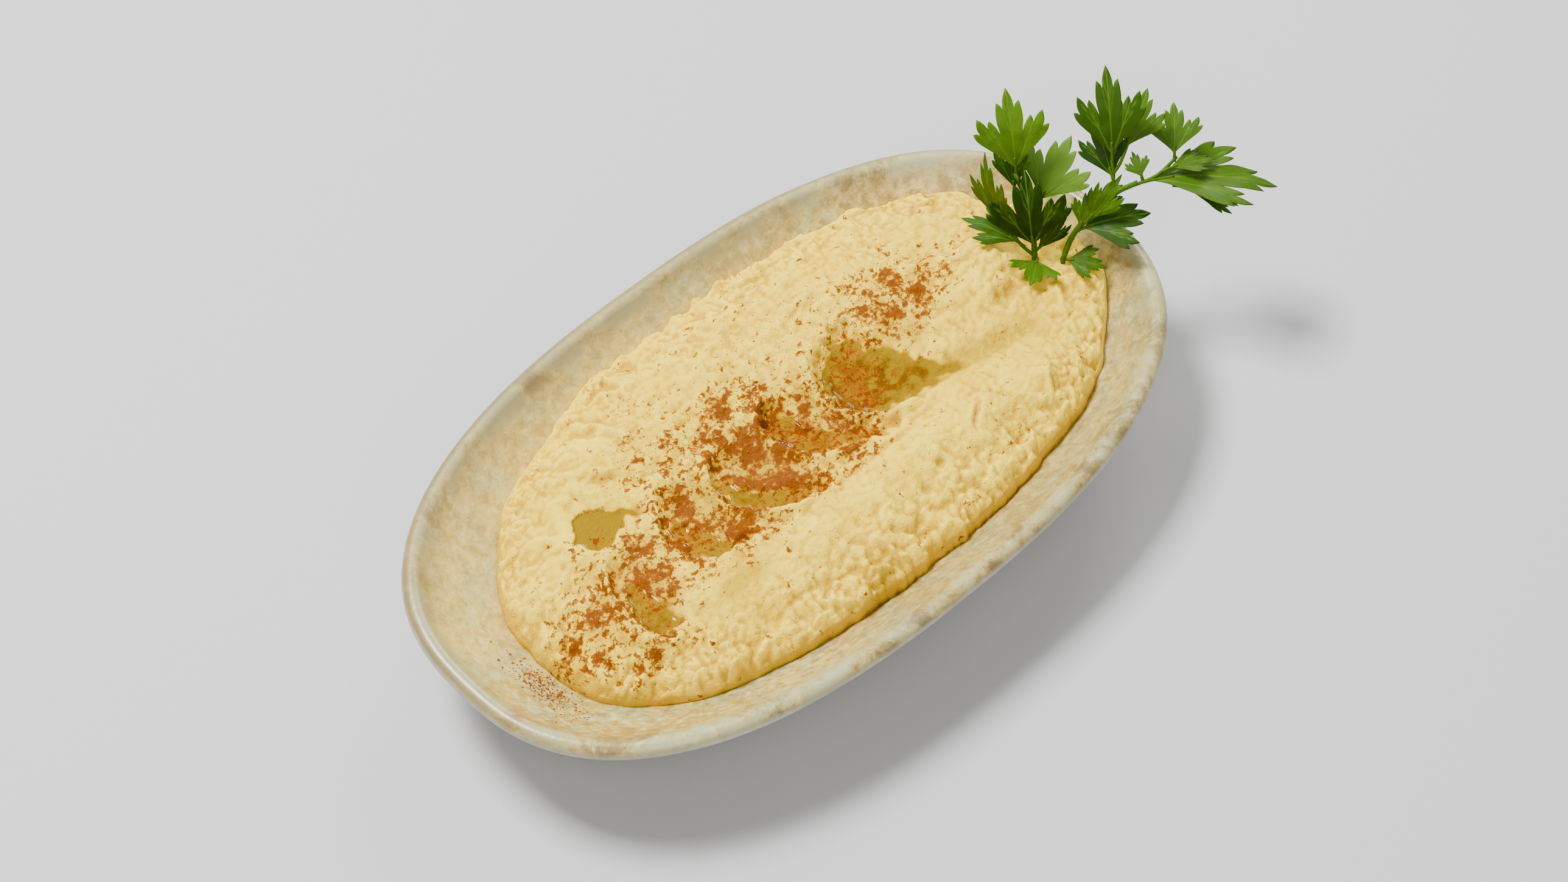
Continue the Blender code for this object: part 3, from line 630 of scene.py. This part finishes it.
def hummus_material():
    """A moist cream paste, yellow where oil soaked in, with orange-brown patches of paprika, painted shade
    in its hollows and painted light on its crests.
    """
    m = Nodes("hummus_paste")
    place = m.place()
    soft = m.noise(place, 90.0, 4.0, 0.6)
    color = m.mix(m.ramp(soft, 0.3, 0.7), PASTE_DEEP, PASTE_PALE)
    # Painted shade in the hollows of the relief and painted light on its crests.
    hollow_shade = m.attribute("hollow_shade")
    color = m.over(color, hollow_shade, 0.55, PASTE_HOLLOW_SHADE)
    color = m.over(color, m.attribute("crest_light"), 0.5, PASTE_CREST_LIGHT)
    soak = m.attribute("soak")
    oily = m.math("MULTIPLY", soak, m.ramp(m.noise(place, 160.0, 3.0), 0.1, 0.5))
    color = m.over(color, oily, 0.9, PASTE_OILY)
    depth = m.attribute("pool")
    color = m.mix(m.ramp(depth, 0.02, 0.3), color, OIL_SHALLOW)
    blotch = m.ramp(m.noise(place, 260.0, 4.0, 0.6), 0.25, 0.75)
    color = m.mix(m.ramp(m.math("MULTIPLY", depth, blotch), 0.3, 1.3), color, OIL_DEEP)
    sunk = m.add("ShaderNodeMapRange", {"Value": depth, "From Max": 0.4, "To Min": 1.0, "To Max": 0.78})
    dust = m.math("MULTIPLY", m.attribute("paprika"), sunk)
    stain = m.math("MULTIPLY", m.ramp(m.attribute("paprika"), 0.35, 0.95), 0.5)
    color = m.mix(stain, color, PASTE_STAINED)
    clump = m.noise(place, 210.0, 2.0, 0.5, 0.4)
    speck = m.noise(place, 560.0, 2.0, 0.5, 0.4)
    powder = m.noise(place, 2000.0, 2.0, 0.6)
    field = m.math("ADD", m.math("MULTIPLY", clump, 0.30), m.math("MULTIPLY", speck, 0.50))
    field = m.math("ADD", field, m.math("MULTIPLY", powder, 0.20))
    field = m.math("ADD", field, m.math("MULTIPLY", dust, 0.235))
    halo = m.ramp(field, 0.612, 0.632)
    heart = m.ramp(field, 0.645, 0.68)
    color = m.over(color, halo, 0.92, PAPRIKA_THIN)
    color = m.over(color, heart, 0.9, PAPRIKA_THICK)
    wet = m.math("MAXIMUM", m.math("MAXIMUM", oily, halo), m.ramp(depth, 0.0, 0.2))
    gloss = m.add("ShaderNodeMapRange", {"Value": wet, "To Min": 0.46, "To Max": 0.2})
    m.set(Base_Color=color, Roughness=gloss)
    grain = m.noise(place, 620.0, 4.0, 0.65)
    m.set(Normal=m.bump(grain, 0.0009, 0.75))
    m.shader.inputs["Specular IOR Level"].default_value = 0.05
    m.shader.inputs["Subsurface Weight"].default_value = 0.05
    m.shader.inputs["Subsurface Radius"].default_value = (1.0, 0.6, 0.25)
    m.shader.inputs["Subsurface Scale"].default_value = 0.001
    return m.material


def oil_material():
    """A thin clear layer that tints what lies under it and shines."""
    m = Nodes("olive_oil")
    tree = m.tree
    tree.nodes.remove(m.shader)
    tint = tree.nodes.new("ShaderNodeBsdfTransparent")
    tint.inputs["Color"].default_value = OIL_TINT
    gloss = tree.nodes.new("ShaderNodeBsdfGlossy")
    gloss.inputs["Roughness"].default_value = 0.04
    edge = tree.nodes.new("ShaderNodeFresnel")
    edge.inputs["IOR"].default_value = 1.25
    both = tree.nodes.new("ShaderNodeMixShader")
    tree.links.new(edge.outputs[0], both.inputs[0])
    tree.links.new(tint.outputs[0], both.inputs[1])
    tree.links.new(gloss.outputs[0], both.inputs[2])
    tree.links.new(both.outputs[0], tree.nodes["Material Output"].inputs["Surface"])
    return m.material


def paprika_material():
    m = Nodes("paprika_powder")
    shade = m.noise(m.place(), 800.0, 2.0)
    m.set(Base_Color=m.mix(m.ramp(shade, 0.35, 0.65), GRAIN_DARK, GRAIN_LIGHT))
    m.shader.inputs["Roughness"].default_value = 0.6
    return m.material


def parsley_material():
    """Green leaf with paler veins, its tone set for each leaf: partly the leaf's own, partly painted light
    and shade for lit, backlit and shaded leaves.
    """
    m = Nodes("parsley_leaf")
    tone_and_light = m.attribute("tone_and_light")
    place = m.place()
    patch = m.noise(place, 220.0, 3.0, 0.6)
    # The tone is partly the leaf's own and partly painted light and shade.
    color = m.mix(tone_and_light, LEAF_DARK_SHADED, LEAF_LIGHT_LIT)
    color = m.over(color, m.ramp(patch, 0.4, 0.7), 0.35, LEAF_PATCH)
    color = m.over(color, m.attribute("grey"), 0.8, LEAF_GREY)
    color = m.over(color, m.attribute("vein"), 0.6, LEAF_VEIN)
    m.set(Base_Color=color, Normal=m.bump(m.noise(place, 900.0, 2.0), 0.0002, 0.3))
    m.shader.inputs["Roughness"].default_value = 0.45
    m.shader.inputs["Specular IOR Level"].default_value = 0.09
    m.shader.inputs["Subsurface Weight"].default_value = 0.08
    m.shader.inputs["Subsurface Radius"].default_value = (0.5, 1.0, 0.1)
    m.shader.inputs["Subsurface Scale"].default_value = 0.001
    return m.material


def make_dish(material):
    """The dish as a smooth loft, a little uneven as thrown ware is."""
    rings = []
    inner = [wall_side(k / 26, 1) for k in range(27)]
    outer = [wall_side(k / 26, -1) for k in range(26, -1, -1)]
    slope = math.atan2(inner[-1][0] - LIP_INSET, inner[-1][1] - LIP_HEIGHT)
    turns = [slope - math.pi * k / 14 for k in range(1, 14)]
    round_lip = [(math.sin(turn) * WALL / 2, math.cos(turn) * WALL / 2) for turn in turns]
    lip = [(LIP_INSET + aside, LIP_HEIGHT + up) for aside, up in round_lip]
    outer = [point for point in outer if point[0] < FOOT_INSET - 0.6]
    foot = [(FOOT_INSET - 0.4, 2.6), (FOOT_INSET, 2.2), (FOOT_INSET, 0.8), (FOOT_INSET + 0.3, 0.2)]
    foot += [(FOOT_INSET + 0.9, 0.0), (FOOT_INSET + 4, 0.0)]
    profile = [(FLOOR_INSET + 18, inner[0][1])] + inner + lip + outer + foot
    turns = np.arange(DISH_SPOKES) * 2 * math.pi / DISH_SPOKES
    places, lips, lines, outside = [], [], [], []
    run = 0.0
    for step, (inset, height) in enumerate(profile):
        x, y = power_curve(turns, DISH_HALF_LENGTH - inset, DISH_HALF_WIDTH - inset, DISH_POWER)
        uneven = 0.25 * smooth_noise(x, y + 3 * height, 38.0, 31) * min(1.0, height / 12)
        rings.append(np.stack([x, y, height + uneven], 1))
        if step:
            run += math.hypot(inset - profile[step - 1][0], height - profile[step - 1][1])
        arc = np.unwrap(np.arctan2(y, x)) * 95
        places.append(np.stack([arc, np.full_like(arc, run), np.full_like(arc, height)], 1))
        is_outer = step > len(inner) + len(lip)
        near_lip = math.exp(-(((height - LIP_HEIGHT - 2) / 3.2) ** 2))
        lips.append(np.full_like(arc, near_lip))
        past_crown = math.exp(-(((inset - 0.9) / 1.1) ** 2)) * (height > LIP_HEIGHT - 2)
        lines.append(past_crown * np.clip(0.25 + y / 50 - x / 220, 0, 1))
        past = 1.0 if is_outer else run_share(step, len(inner) + 8, len(inner) + 12)
        outside.append(np.full_like(arc, past))
    count = len(profile)
    faces = ring_faces(count, DISH_SPOKES)
    faces.append(list(range(DISH_SPOKES))[::-1])
    faces.append(list(range((count - 1) * DISH_SPOKES, count * DISH_SPOKES)))
    dish = mesh_from("dish_glazed", np.concatenate(rings), faces)
    set_attribute(dish, "glaze_place", np.concatenate(places), "FLOAT_VECTOR")
    corners = np.array([corner.co for corner in dish.data.vertices])
    # Painted shading side: high towards the near right, where the glaze gets painted shade, low towards the
    # far left, where it gets painted light and the lip painted shade.
    set_attribute(dish, "painted_shading_side", np.clip(0.42 + 2.5 * corners[:, 0] - 6 * corners[:, 1], 0, 1))
    set_attribute(dish, "lip", np.concatenate(lips))
    set_attribute(dish, "lip_line", np.concatenate(lines))
    set_attribute(dish, "outside", np.concatenate(outside))
    finish_piece(dish, material, "stoneware", "dish")


def run_share(value, low, high):
    """0 up to low, 1 from high and a straight line between."""
    return float(np.clip((value - low) / (high - low), 0, 1))


def fix_normals(piece):
    bm = bmesh.new()
    bm.from_mesh(piece.data)
    bmesh.ops.recalc_face_normals(bm, faces=bm.faces)
    bm.to_mesh(piece.data)
    bm.free()


def finish_piece(piece, material, slot, *nodes):
    fix_normals(piece)
    piece.data.materials.append(material)
    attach(piece, "root")
    if nodes:
        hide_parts(*nodes)


def make_hummus(material):
    """The hummus's surface as a fine grid, closed by a skirt and a floor just inside the dish."""
    columns, rows = HUMMUS_CELLS
    u, v = np.meshgrid(np.linspace(-1, 1, columns + 1), np.linspace(-1, 1, rows + 1))
    x, y = grid_to_outline(u.ravel(), v.ravel())
    z, scooped = hummus_height(x, y)
    points = np.stack([x, y, z], 1)
    faces = grid_faces(rows + 1, columns + 1)
    index = np.arange(len(x)).reshape(rows + 1, columns + 1)
    rim = np.concatenate([index[0, :-1], index[:-1, -1], index[-1, :0:-1], index[:0:-1, 0]])
    skirt = [rim]
    for share in (0.02, 0.5, 1.0):
        ring_x, ring_y = x[rim] * (1 - 0.42 * share), y[rim] * (1 - 0.55 * share)
        ring_z = wall_height(dish_inset(ring_x, ring_y)) - 0.3
        start = len(points)
        points = np.concatenate([points, np.stack([ring_x, ring_y, ring_z], 1)])
        skirt.append(start + np.arange(len(rim)))
    for ring, other in zip(skirt, skirt[1:]):
        after, other_after = np.roll(ring, -1), np.roll(other, -1)
        faces += np.stack([ring, after, other_after, other], 1).tolist()
    faces.append(skirt[-1].tolist())
    hummus = mesh_from("hummus_paste", points, faces)
    spare = len(points) - len(x)
    depth = pool_depth(x, y, z)
    grid = z.reshape(rows + 1, columns + 1)
    # Painted shade and light: hollows of the relief get painted shade, crests get painted light.
    relief = ((grid - blur(grid, 3)) * 3.2 + (grid - blur(grid, 9)) * 0.7).ravel()
    hollow_shade, crest_light = np.clip(-relief, 0, 1), np.clip(relief, 0, 1)
    dust = paprika_density(x, y)
    soak = np.clip(1.3 * dust * (0.35 + 0.65 * scooped) + 0.8 * oil_smears(x, y), 0, 1)
    layers = {"pool": depth, "hollow_shade": hollow_shade, "crest_light": crest_light, "paprika": dust, "soak": soak}
    for name, values in layers.items():
        set_attribute(hummus, name, np.concatenate([values, np.zeros(spare)]))
    finish_piece(hummus, material, "hummus", "hummus")


def blur(grid, reach):
    """A grid averaged over a square window, by running sums."""
    for axis in (0, 1):
        total = np.zeros_like(grid)
        for step in range(-reach, reach + 1):
            total += np.roll(grid, step, axis)
        grid = total / (2 * reach + 1)
    return grid


def oil_smears(x, y):
    """Where oil ran over the surface outside the pools."""
    tail = np.exp(-(((y + 12.5 + 0.2 * (x - 62)) / 4.5) ** 2)) * np.exp(-(((x - 60) / 20) ** 4))
    streak = 1.5 * np.exp(-(((y + 24) / 3.2) ** 2) - ((x + 42) / 9) ** 2)
    return np.clip(np.maximum(np.maximum(tail, streak), 1.6 * hill(x, y, -12, -47, 4)), 0, 1)


def make_pool(pool, material):
    """The flat surface of one oil pool, reaching a little way into the hummus round it."""
    node, level, _, shore = pool
    low, high = np.min(shore, axis=0) - POOL_MARGIN, np.max(shore, axis=0) + POOL_MARGIN
    x, y = np.meshgrid(np.arange(low[0], high[0], POOL_STEP), np.arange(low[1], high[1], POOL_STEP))
    rows, columns = x.shape
    away = shore_distance(x, y, shore)
    rim = 0.25 * np.exp(-((away + 0.2) / 0.9) ** 2) * (away < 0.3)
    lift = level - 0.10 * np.clip(away / 0.5, 0, 1) + rim
    near = away < POOL_LAP
    cells = near[:-1, :-1] & near[:-1, 1:] & near[1:, 1:] & near[1:, :-1]
    faces = np.array(grid_faces(rows, columns))[cells.ravel()]
    used, faces = np.unique(faces, return_inverse=True)
    points = np.stack([x.ravel(), y.ravel(), lift.ravel()], 1)[used]
    name = (node or f"oil_film_{int(-shore[0][0])}") + "_surface"
    top = mesh_from(name, points, faces.reshape(-1, 4).tolist())
    finish_piece(top, material, "olive_oil", *([node] if node else []))


# Parsley, as it is in the frame: stems as routes with a radius, and leaves.
STEM_RADIUS = 0.9
STALK_RADIUS = 0.55
PETIOLE_SHARE = 0.10
LEAF_ARCH = 0.10
LEAF_CUP = 0.25
LEAF_THICKNESS = 0.28
LEAF_LOBES = ((-31, 0.82), (0, 1.0), (31, 0.82))
LOBE_TEETH = ((-1, 0.86), (-0.55, 0.77), (0, 1.0), (0.55, 0.77), (1, 0.86))
TOOTH_ANGLE = 10.0
SINUS_LENGTH = 0.50
SIDE_TOOTH = (3.0, 0.56)  # angle past the outermost tooth, and length

LEFT_STEMS = (
    (STEM_RADIUS, ((93, -3, 21), (94, 0, 33), (96.5, 5, 45), (95.5, 11, 58))),
    (STALK_RADIUS, ((94, -0.5, 32), (91.5, 3.5, 36.5), (90.5, 6, 41))),
    (STALK_RADIUS, ((96.3, 4, 43), (98, 4.3, 45.5), (99.2, 4.4, 47.2))),
)
RIGHT_STEMS = (
    (STEM_RADIUS, ((97, -8, 20), (98.5, -7, 33), (104, -6.5, 42), (113, -10, 52), (119, -14, 56.5))),
    (STALK_RADIUS, ((113, -10, 52), (115, -8.5, 57), (116, -6.5, 62))),
    (STALK_RADIUS, ((115.2, -8, 58), (117.6, -8.2, 61), (119.8, -7.7, 63.8))),
    (STALK_RADIUS, ((117, -13, 55.3), (124, -16.5, 57.5), (131.5, -17, 60))),
)

# Each leaf: base, tip, facing direction, width ratio, tone from dark to light (partly the leaf's own,
# partly painted light and shade), greyness.
LEFT_LEAVES = (
    ((95.5, 10.5, 57), (102, 23, 79), OPEN_SIDE, 0.75, 0.95, 0.0),
    ((93.9, 0.2, 34), (97, 9, 60), (-0.7, -0.7, 0.3), 0.8, 0.05, 0.0),
    ((90.6, 5.5, 40), (91, 19, 64), (-0.9, 0.1, 0.1), 0.55, 0.4, 0.0),
    ((98.8, 4.4, 46.6), (113, 6.5, 64), (-0.5, -0.3, 0.8), 0.9, 0.75, 0.8),
    ((94.2, 0.3, 33.5), (104, -2, 48), (-0.3, -0.9, 0.3), 0.5, 0.12, 0.0),
    ((92, 3, 36), (84, 20, 39.5), (-0.2, 0.1, 1), 0.6, 0.3, 0.0),
    ((93.6, -1.5, 32.5), (83.5, -8.5, 35.4), (-0.2, -0.3, 1), 1.1, 0.75, 0.0),
    ((94.6, 9.5, 51), (99.8, 17.8, 66.6), (-0.6, -0.2, 0.7), 0.55, 0.3, 0.0),
)
RIGHT_LEAVES = (
    ((103.5, -6.7, 41.5), (122, -18, 44), (-0.1, -0.2, 1), 0.9, 0.18, 0.0),
    ((114.6, -9.3, 55.5), (119.9, 4.8, 68.8), (-0.5, -0.3, 0.8), 0.65, 0.12, 0.0),
    ((115.8, -6.9, 61), (125, 7, 84), OPEN_SIDE, 0.65, 0.35, 0.0),
    ((119.5, -7.8, 63.4), (134.5, -1.4, 74), OPEN_SIDE, 0.75, 0.6, 0.1),
    ((130.5, -17, 59.7), (139, -7.5, 69.5), OPEN_SIDE, 0.9, 0.5, 0.2),
    ((118.6, -13.8, 56.2), (154, -37, 46), (0.1, -0.1, 1), 0.5, 0.5, 0.2),
    ((98.6, -7, 33), (105, -18, 33.5), (0.1, -0.5, 1), 0.8, 0.45, 0.0),
    ((105.2, -7.4, 43.5), (117.5, -9.5, 57.5), (-0.3, -0.6, 0.7), 0.5, 0.8, 0.0),
    ((103.8, -7.2, 42), (110.5, -4.8, 53.5), (-0.5, -0.5, 0.7), 0.6, 0.75, 0.0),
    ((127, -21.5, 55), (143.5, -34.5, 44.5), (-0.1, -0.2, 1), 0.5, 0.42, 0.1),
    ((126, -17.2, 58.6), (141.4, -23.8, 57), (0.0, -0.1, 1), 0.45, 0.5, 0.1),
    ((120.5, -14.5, 57), (121.8, -8.5, 63), OPEN_SIDE, 0.8, 0.5, 0.5),
)


def leaf_outline():
    """A wedge-shaped leaf's outline as angles and lengths from its base, with pointed teeth."""
    corners = []
    for angle, length in LEAF_LOBES:
        for offset, share in LOBE_TEETH:
            corners.append((angle + offset * TOOTH_ANGLE, length * share))
        corners.append((angle + TOOTH_ANGLE * 1.55, SINUS_LENGTH))
    corners.pop()
    angle, reach = SIDE_TOOTH
    corners.insert(0, (corners[0][0] - angle, reach))
    corners.append((corners[-1][0] + angle, reach))
    angles, reaches = [corners[0][0]], [corners[0][1]]
    for (angle, reach), (next_angle, next_reach) in zip(corners, corners[1:]):
        for k in range(1, 7):
            share = k / 6
            bend = share**0.6 if next_reach > reach else 1 - (1 - share) ** 0.6
            angles.append(angle + (next_angle - angle) * share)
            reaches.append(reach + (next_reach - reach) * bend)
    return np.radians(angles), np.array(reaches)


def leaf_frame(leaf):
    base, tip, facing = (Vector(value) for value in leaf[:3])
    span = tip - base
    forward = span.normalized()
    upward = (facing - forward * forward.dot(facing)).normalized()
    return np.array(base), np.array(forward), np.array(upward.cross(forward)), np.array(upward), span.length


def leaf_points(leaf, along, across):
    """Points of an arched, cupped leaf, in shares of its length along and across its midrib."""
    base, forward, sideways, upward, length = leaf_frame(leaf)
    across = across * leaf[3]
    lift = LEAF_ARCH * 4 * along * (1 - along) + LEAF_CUP * across**2
    ripple = 0.012 * smooth_noise(along * 40 + base[0], across * 40 + base[1], 6.0, 41)
    lift = lift + ripple
    flat = along[:, None] * forward + across[:, None] * sideways + lift[:, None] * upward
    return base + flat * length


def vein_mask(along, across):
    """1 on a leaf's veins, 0 between them."""
    best = np.full(along.shape, 9.0)
    for angle, length in LEAF_LOBES:
        turn = math.radians(angle)
        reach = along * math.cos(turn) + across * math.sin(turn)
        away = np.abs(-along * math.sin(turn) + across * math.cos(turn))
        best = np.where((reach > 0) & (reach < length), np.minimum(best, away * (1 + reach)), best)
        for start, lean in ((0.45, 18), (0.62, 20), (0.45, -18), (0.62, -20)):
            turn = math.radians(angle + lean)
            from_x = along - start * length * math.cos(math.radians(angle))
            from_y = across - start * length * math.sin(math.radians(angle))
            reach = from_x * math.cos(turn) + from_y * math.sin(turn)
            away = np.abs(-from_x * math.sin(turn) + from_y * math.cos(turn))
            best = np.where((reach > 0) & (reach < 0.3), np.minimum(best, away * 1.8), best)
    return np.clip(1 - best / 0.022, 0, 1)


def make_leaves(name, leaves, material, node):
    """All the leaves of one sprig, as thin closed blades."""
    angles, reaches = leaf_outline()
    rings = 12
    points, faces, tones_and_light, greys, veins = [], [], [], [], []
    for leaf in leaves:
        shares = np.linspace(0, 1, rings + 1)[:, None]
        reach = shares * reaches * (1 - PETIOLE_SHARE)
        along = (PETIOLE_SHARE + reach * np.cos(angles)).ravel()
        across = (reach * np.sin(angles) * (1 + 0.35 * np.sin(math.pi * reach))).ravel()
        vein = vein_mask(((along - PETIOLE_SHARE) / (1 - PETIOLE_SHARE)), across / (1 - PETIOLE_SHARE))
        place = leaf_points(leaf, along, across)
        upward, length = leaf_frame(leaf)[3:]
        thickness = np.repeat(LEAF_THICKNESS * (0.5 + 0.5 * (1 - shares**4)), len(angles), axis=1)
        place = place - upward * (vein * 0.12)[:, None]
        below = place - upward * thickness.ravel()[:, None]
        start, count = sum(len(part) for part in points), len(angles)
        faces += grid_faces(rings + 1, count, start)
        faces += [face[::-1] for face in grid_faces(rings + 1, count, start + len(place))]
        last = start + rings * count
        for k in range(count - 1):
            a, b = last + k, last + k + 1
            faces.append([a, b, b + len(place), a + len(place)])
        for side in (0, count - 1):
            for k in range(rings):
                a, b = start + k * count + side, start + (k + 1) * count + side
                face = [a, b, b + len(place), a + len(place)]
                faces.append(face[::-1] if side == 0 else face)
        points += [place, below]
        tones_and_light.append(np.full(2 * len(place), leaf[4]))
        greys.append(np.full(2 * len(place), leaf[5]))
        veins.append(np.tile(vein, 2))
    piece = mesh_from(name, np.concatenate(points), faces)
    set_attribute(piece, "tone_and_light", np.concatenate(tones_and_light))
    set_attribute(piece, "grey", np.concatenate(greys))
    set_attribute(piece, "vein", np.concatenate(veins))
    finish_piece(piece, material, "parsley", node)


def smooth_route(points, steps):
    """Points along a Catmull-Rom curve through the given ones."""
    ends = [points[0] * 2 - points[1]] + points + [points[-1] * 2 - points[-2]]
    route = [points[0]]
    for a, b, c, d in zip(ends, ends[1:], ends[2:], ends[3:]):
        for k in range(1, steps + 1):
            t = k / steps
            bend = (2 * a - 5 * b + 4 * c - d) * t * t + (3 * b - a - 3 * c + d) * t**3
            route.append((2 * b + (c - a) * t + bend) / 2)
    return route


def tube_mesh(route, radius, sides=10):
    """Points and faces of a stem with a shallow groove, closed at both ends."""
    points = []
    for k, at in enumerate(route):
        ahead = (route[min(k + 1, len(route) - 1)] - route[max(k - 1, 0)]).normalized()
        side = ahead.cross(Vector((0.3, 0.1, 0.95))).normalized()
        other = ahead.cross(side)
        for turn in np.arange(sides) * 2 * math.pi / sides:
            reach = radius * (1 - 0.12 * math.cos(3 * turn)) * (1 - 0.15 * k / len(route))
            points.append(at + side * math.cos(turn) * reach + other * math.sin(turn) * reach)
    faces = ring_faces(len(route), sides)
    faces.append(list(range(sides))[::-1])
    faces.append(list(range((len(route) - 1) * sides, len(route) * sides)))
    return points, faces


def make_stems(name, stems, leaves, material):
    """The stems of one sprig and the stalks of its leaves."""
    routes = [(radius, [Vector(point) for point in route]) for radius, route in stems]
    for leaf in leaves:
        along = np.array([-0.04, 0.06, PETIOLE_SHARE, 0.24])
        stalk = leaf_points(leaf, along, np.zeros(4))
        routes.append((STALK_RADIUS * 0.9, [Vector(point) for point in stalk]))
    points, faces = [], []
    for radius, route in routes:
        tube_points, tube_faces = tube_mesh(smooth_route(route, 6), radius)
        faces += [[corner + len(points) for corner in face] for face in tube_faces]
        points += tube_points
    piece = mesh_from(name, [tuple(point) for point in points], faces)
    set_attribute(piece, "tone_and_light", np.full(len(points), 0.6))
    set_attribute(piece, "grey", np.zeros(len(points)))
    set_attribute(piece, "vein", np.full(len(points), 0.35))
    finish_piece(piece, material, "parsley")


def make_grains(material):
    """Specks of paprika lying on the hummus and on the dish wall beside it."""
    rng = np.random.default_rng(7)
    x = rng.uniform(-96, 80, GRAINS * 6)
    y = rng.uniform(-40, 50, GRAINS * 6)
    keep = (rng.uniform(0, 1, len(x)) < paprika_density(x, y) ** 1.5 * 0.6) & (hummus_inset(x, y) > 2)
    x, y = x[keep][:GRAINS], y[keep][:GRAINS]
    z = hummus_height(x, y)[0]
    spill_x = rng.normal(*SPILL_X, SPILL_GRAINS)
    spill_y = rng.normal(*SPILL_Y, SPILL_GRAINS)
    outside = hummus_inset(spill_x, spill_y) < -0.5
    spill_x, spill_y = spill_x[outside], spill_y[outside]
    x, y = np.concatenate([x, spill_x]), np.concatenate([y, spill_y])
    z = np.concatenate([z, wall_height(dish_inset(spill_x, spill_y))])
    size = rng.lognormal(math.log(GRAIN_RADIUS), 0.4, len(x))
    size = size * np.where(hummus_inset(x, y) < 0, SPILL_GROWTH, 1)
    corners = np.array([(1, 0, 0), (0, 1, 0), (-1, 0, 0), (0, -1, 0), (0, 0, 0.8), (0, 0, -0.5)])
    sides = ((0, 1, 4), (1, 2, 4), (2, 3, 4), (3, 0, 4), (1, 0, 5), (2, 1, 5), (3, 2, 5), (0, 3, 5))
    turn = rng.uniform(0, 2 * math.pi, len(x))
    cosine, sine = np.cos(turn)[:, None], np.sin(turn)[:, None]
    stretch = rng.uniform(0.7, 1.4, (len(x), 1))
    shape_x = (corners[:, 0] * cosine - corners[:, 1] * sine) * stretch
    shape_y = corners[:, 0] * sine + corners[:, 1] * cosine
    shape_z = np.tile(corners[:, 2], (len(x), 1))
    shape = np.stack([shape_x, shape_y, shape_z], 2) * size[:, None, None]
    centres = np.stack([x, y, z + 0.3 * size], 1)
    points = (centres[:, None, :] + shape).reshape(-1, 3)
    faces = (np.arange(len(x))[:, None, None] * 6 + np.array(sides)).reshape(-1, 3).tolist()
    grains = mesh_from("paprika_grains", points, faces, smooth=False)
    finish_piece(grains, material, "paprika")


def make_floor():
    """A plain pale floor under the dish."""
    bpy.ops.mesh.primitive_plane_add(size=FLOOR_SIZE, location=(0, 0, 0))
    floor = bpy.context.object
    floor.name = "floor"
    m = Nodes("pale_floor")
    m.shader.inputs["Base Color"].default_value = FLOOR_GREY
    m.shader.inputs["Roughness"].default_value = 0.7
    floor.data.materials.append(m.material)


def add_light(name, place, size, power):
    """A rectangular lamp that faces the middle of the frame."""
    light = bpy.data.lights.new(name, "AREA")
    light.shape = "RECTANGLE"
    light.size, light.size_y = size
    light.energy = power
    lamp = bpy.data.objects.new(name, light)
    lamp.location = place
    lamp.rotation_euler = (-Vector(place)).to_track_quat("-Z", "Y").to_euler()
    bpy.context.scene.collection.objects.link(lamp)


def make_lights():
    """A soft window beyond the dish to the upper left, a wide fill from the near side, pale walls."""
    for lamp in LAMPS:
        add_light(*lamp)
    world = bpy.data.worlds.new("studio")
    world.use_nodes = True
    world.node_tree.nodes["Background"].inputs["Color"].default_value = WHITE
    world.node_tree.nodes["Background"].inputs["Strength"].default_value = ROOM_LIGHT
    bpy.context.scene.world = world


def make_camera():
    """A camera 0.97 m away, 54 degrees above the table, seeing the dish from its near left side."""
    target = Vector(CAMERA_TARGET) * MM
    azimuth, elevation = math.radians(CAMERA_AZIMUTH), math.radians(CAMERA_ELEVATION)
    level = math.cos(elevation)
    back = Vector((math.sin(azimuth) * level, -math.cos(azimuth) * level, math.sin(elevation)))
    data = bpy.data.cameras.new("camera")
    data.sensor_width = CAMERA_SENSOR
    data.lens = CAMERA_SENSOR / 2 / math.tan(math.radians(CAMERA_VIEW / 2))
    data.clip_start, data.clip_end = 0.01, 20.0
    camera = bpy.data.objects.new("camera", data)
    camera.location = target + back * CAMERA_DISTANCE
    camera.rotation_euler = (-back).to_track_quat("-Z", "Y").to_euler()
    bpy.context.scene.collection.objects.link(camera)
    bpy.context.scene.camera = camera


make_camera()
make_lights()
make_floor()
make_dish(stoneware_material())
make_hummus(hummus_material())
oil = oil_material()
for pool in OIL_POOLS:
    make_pool(pool, oil)
leaf_green = parsley_material()
make_leaves("parsley_left_leaves", LEFT_LEAVES, leaf_green, "parsley_sprig_left")
make_stems("parsley_left_stems", LEFT_STEMS, LEFT_LEAVES, leaf_green)
make_leaves("parsley_right_leaves", RIGHT_LEAVES, leaf_green, "parsley_sprig_right")
make_stems("parsley_right_stems", RIGHT_STEMS, RIGHT_LEAVES, leaf_green)
make_grains(paprika_material())
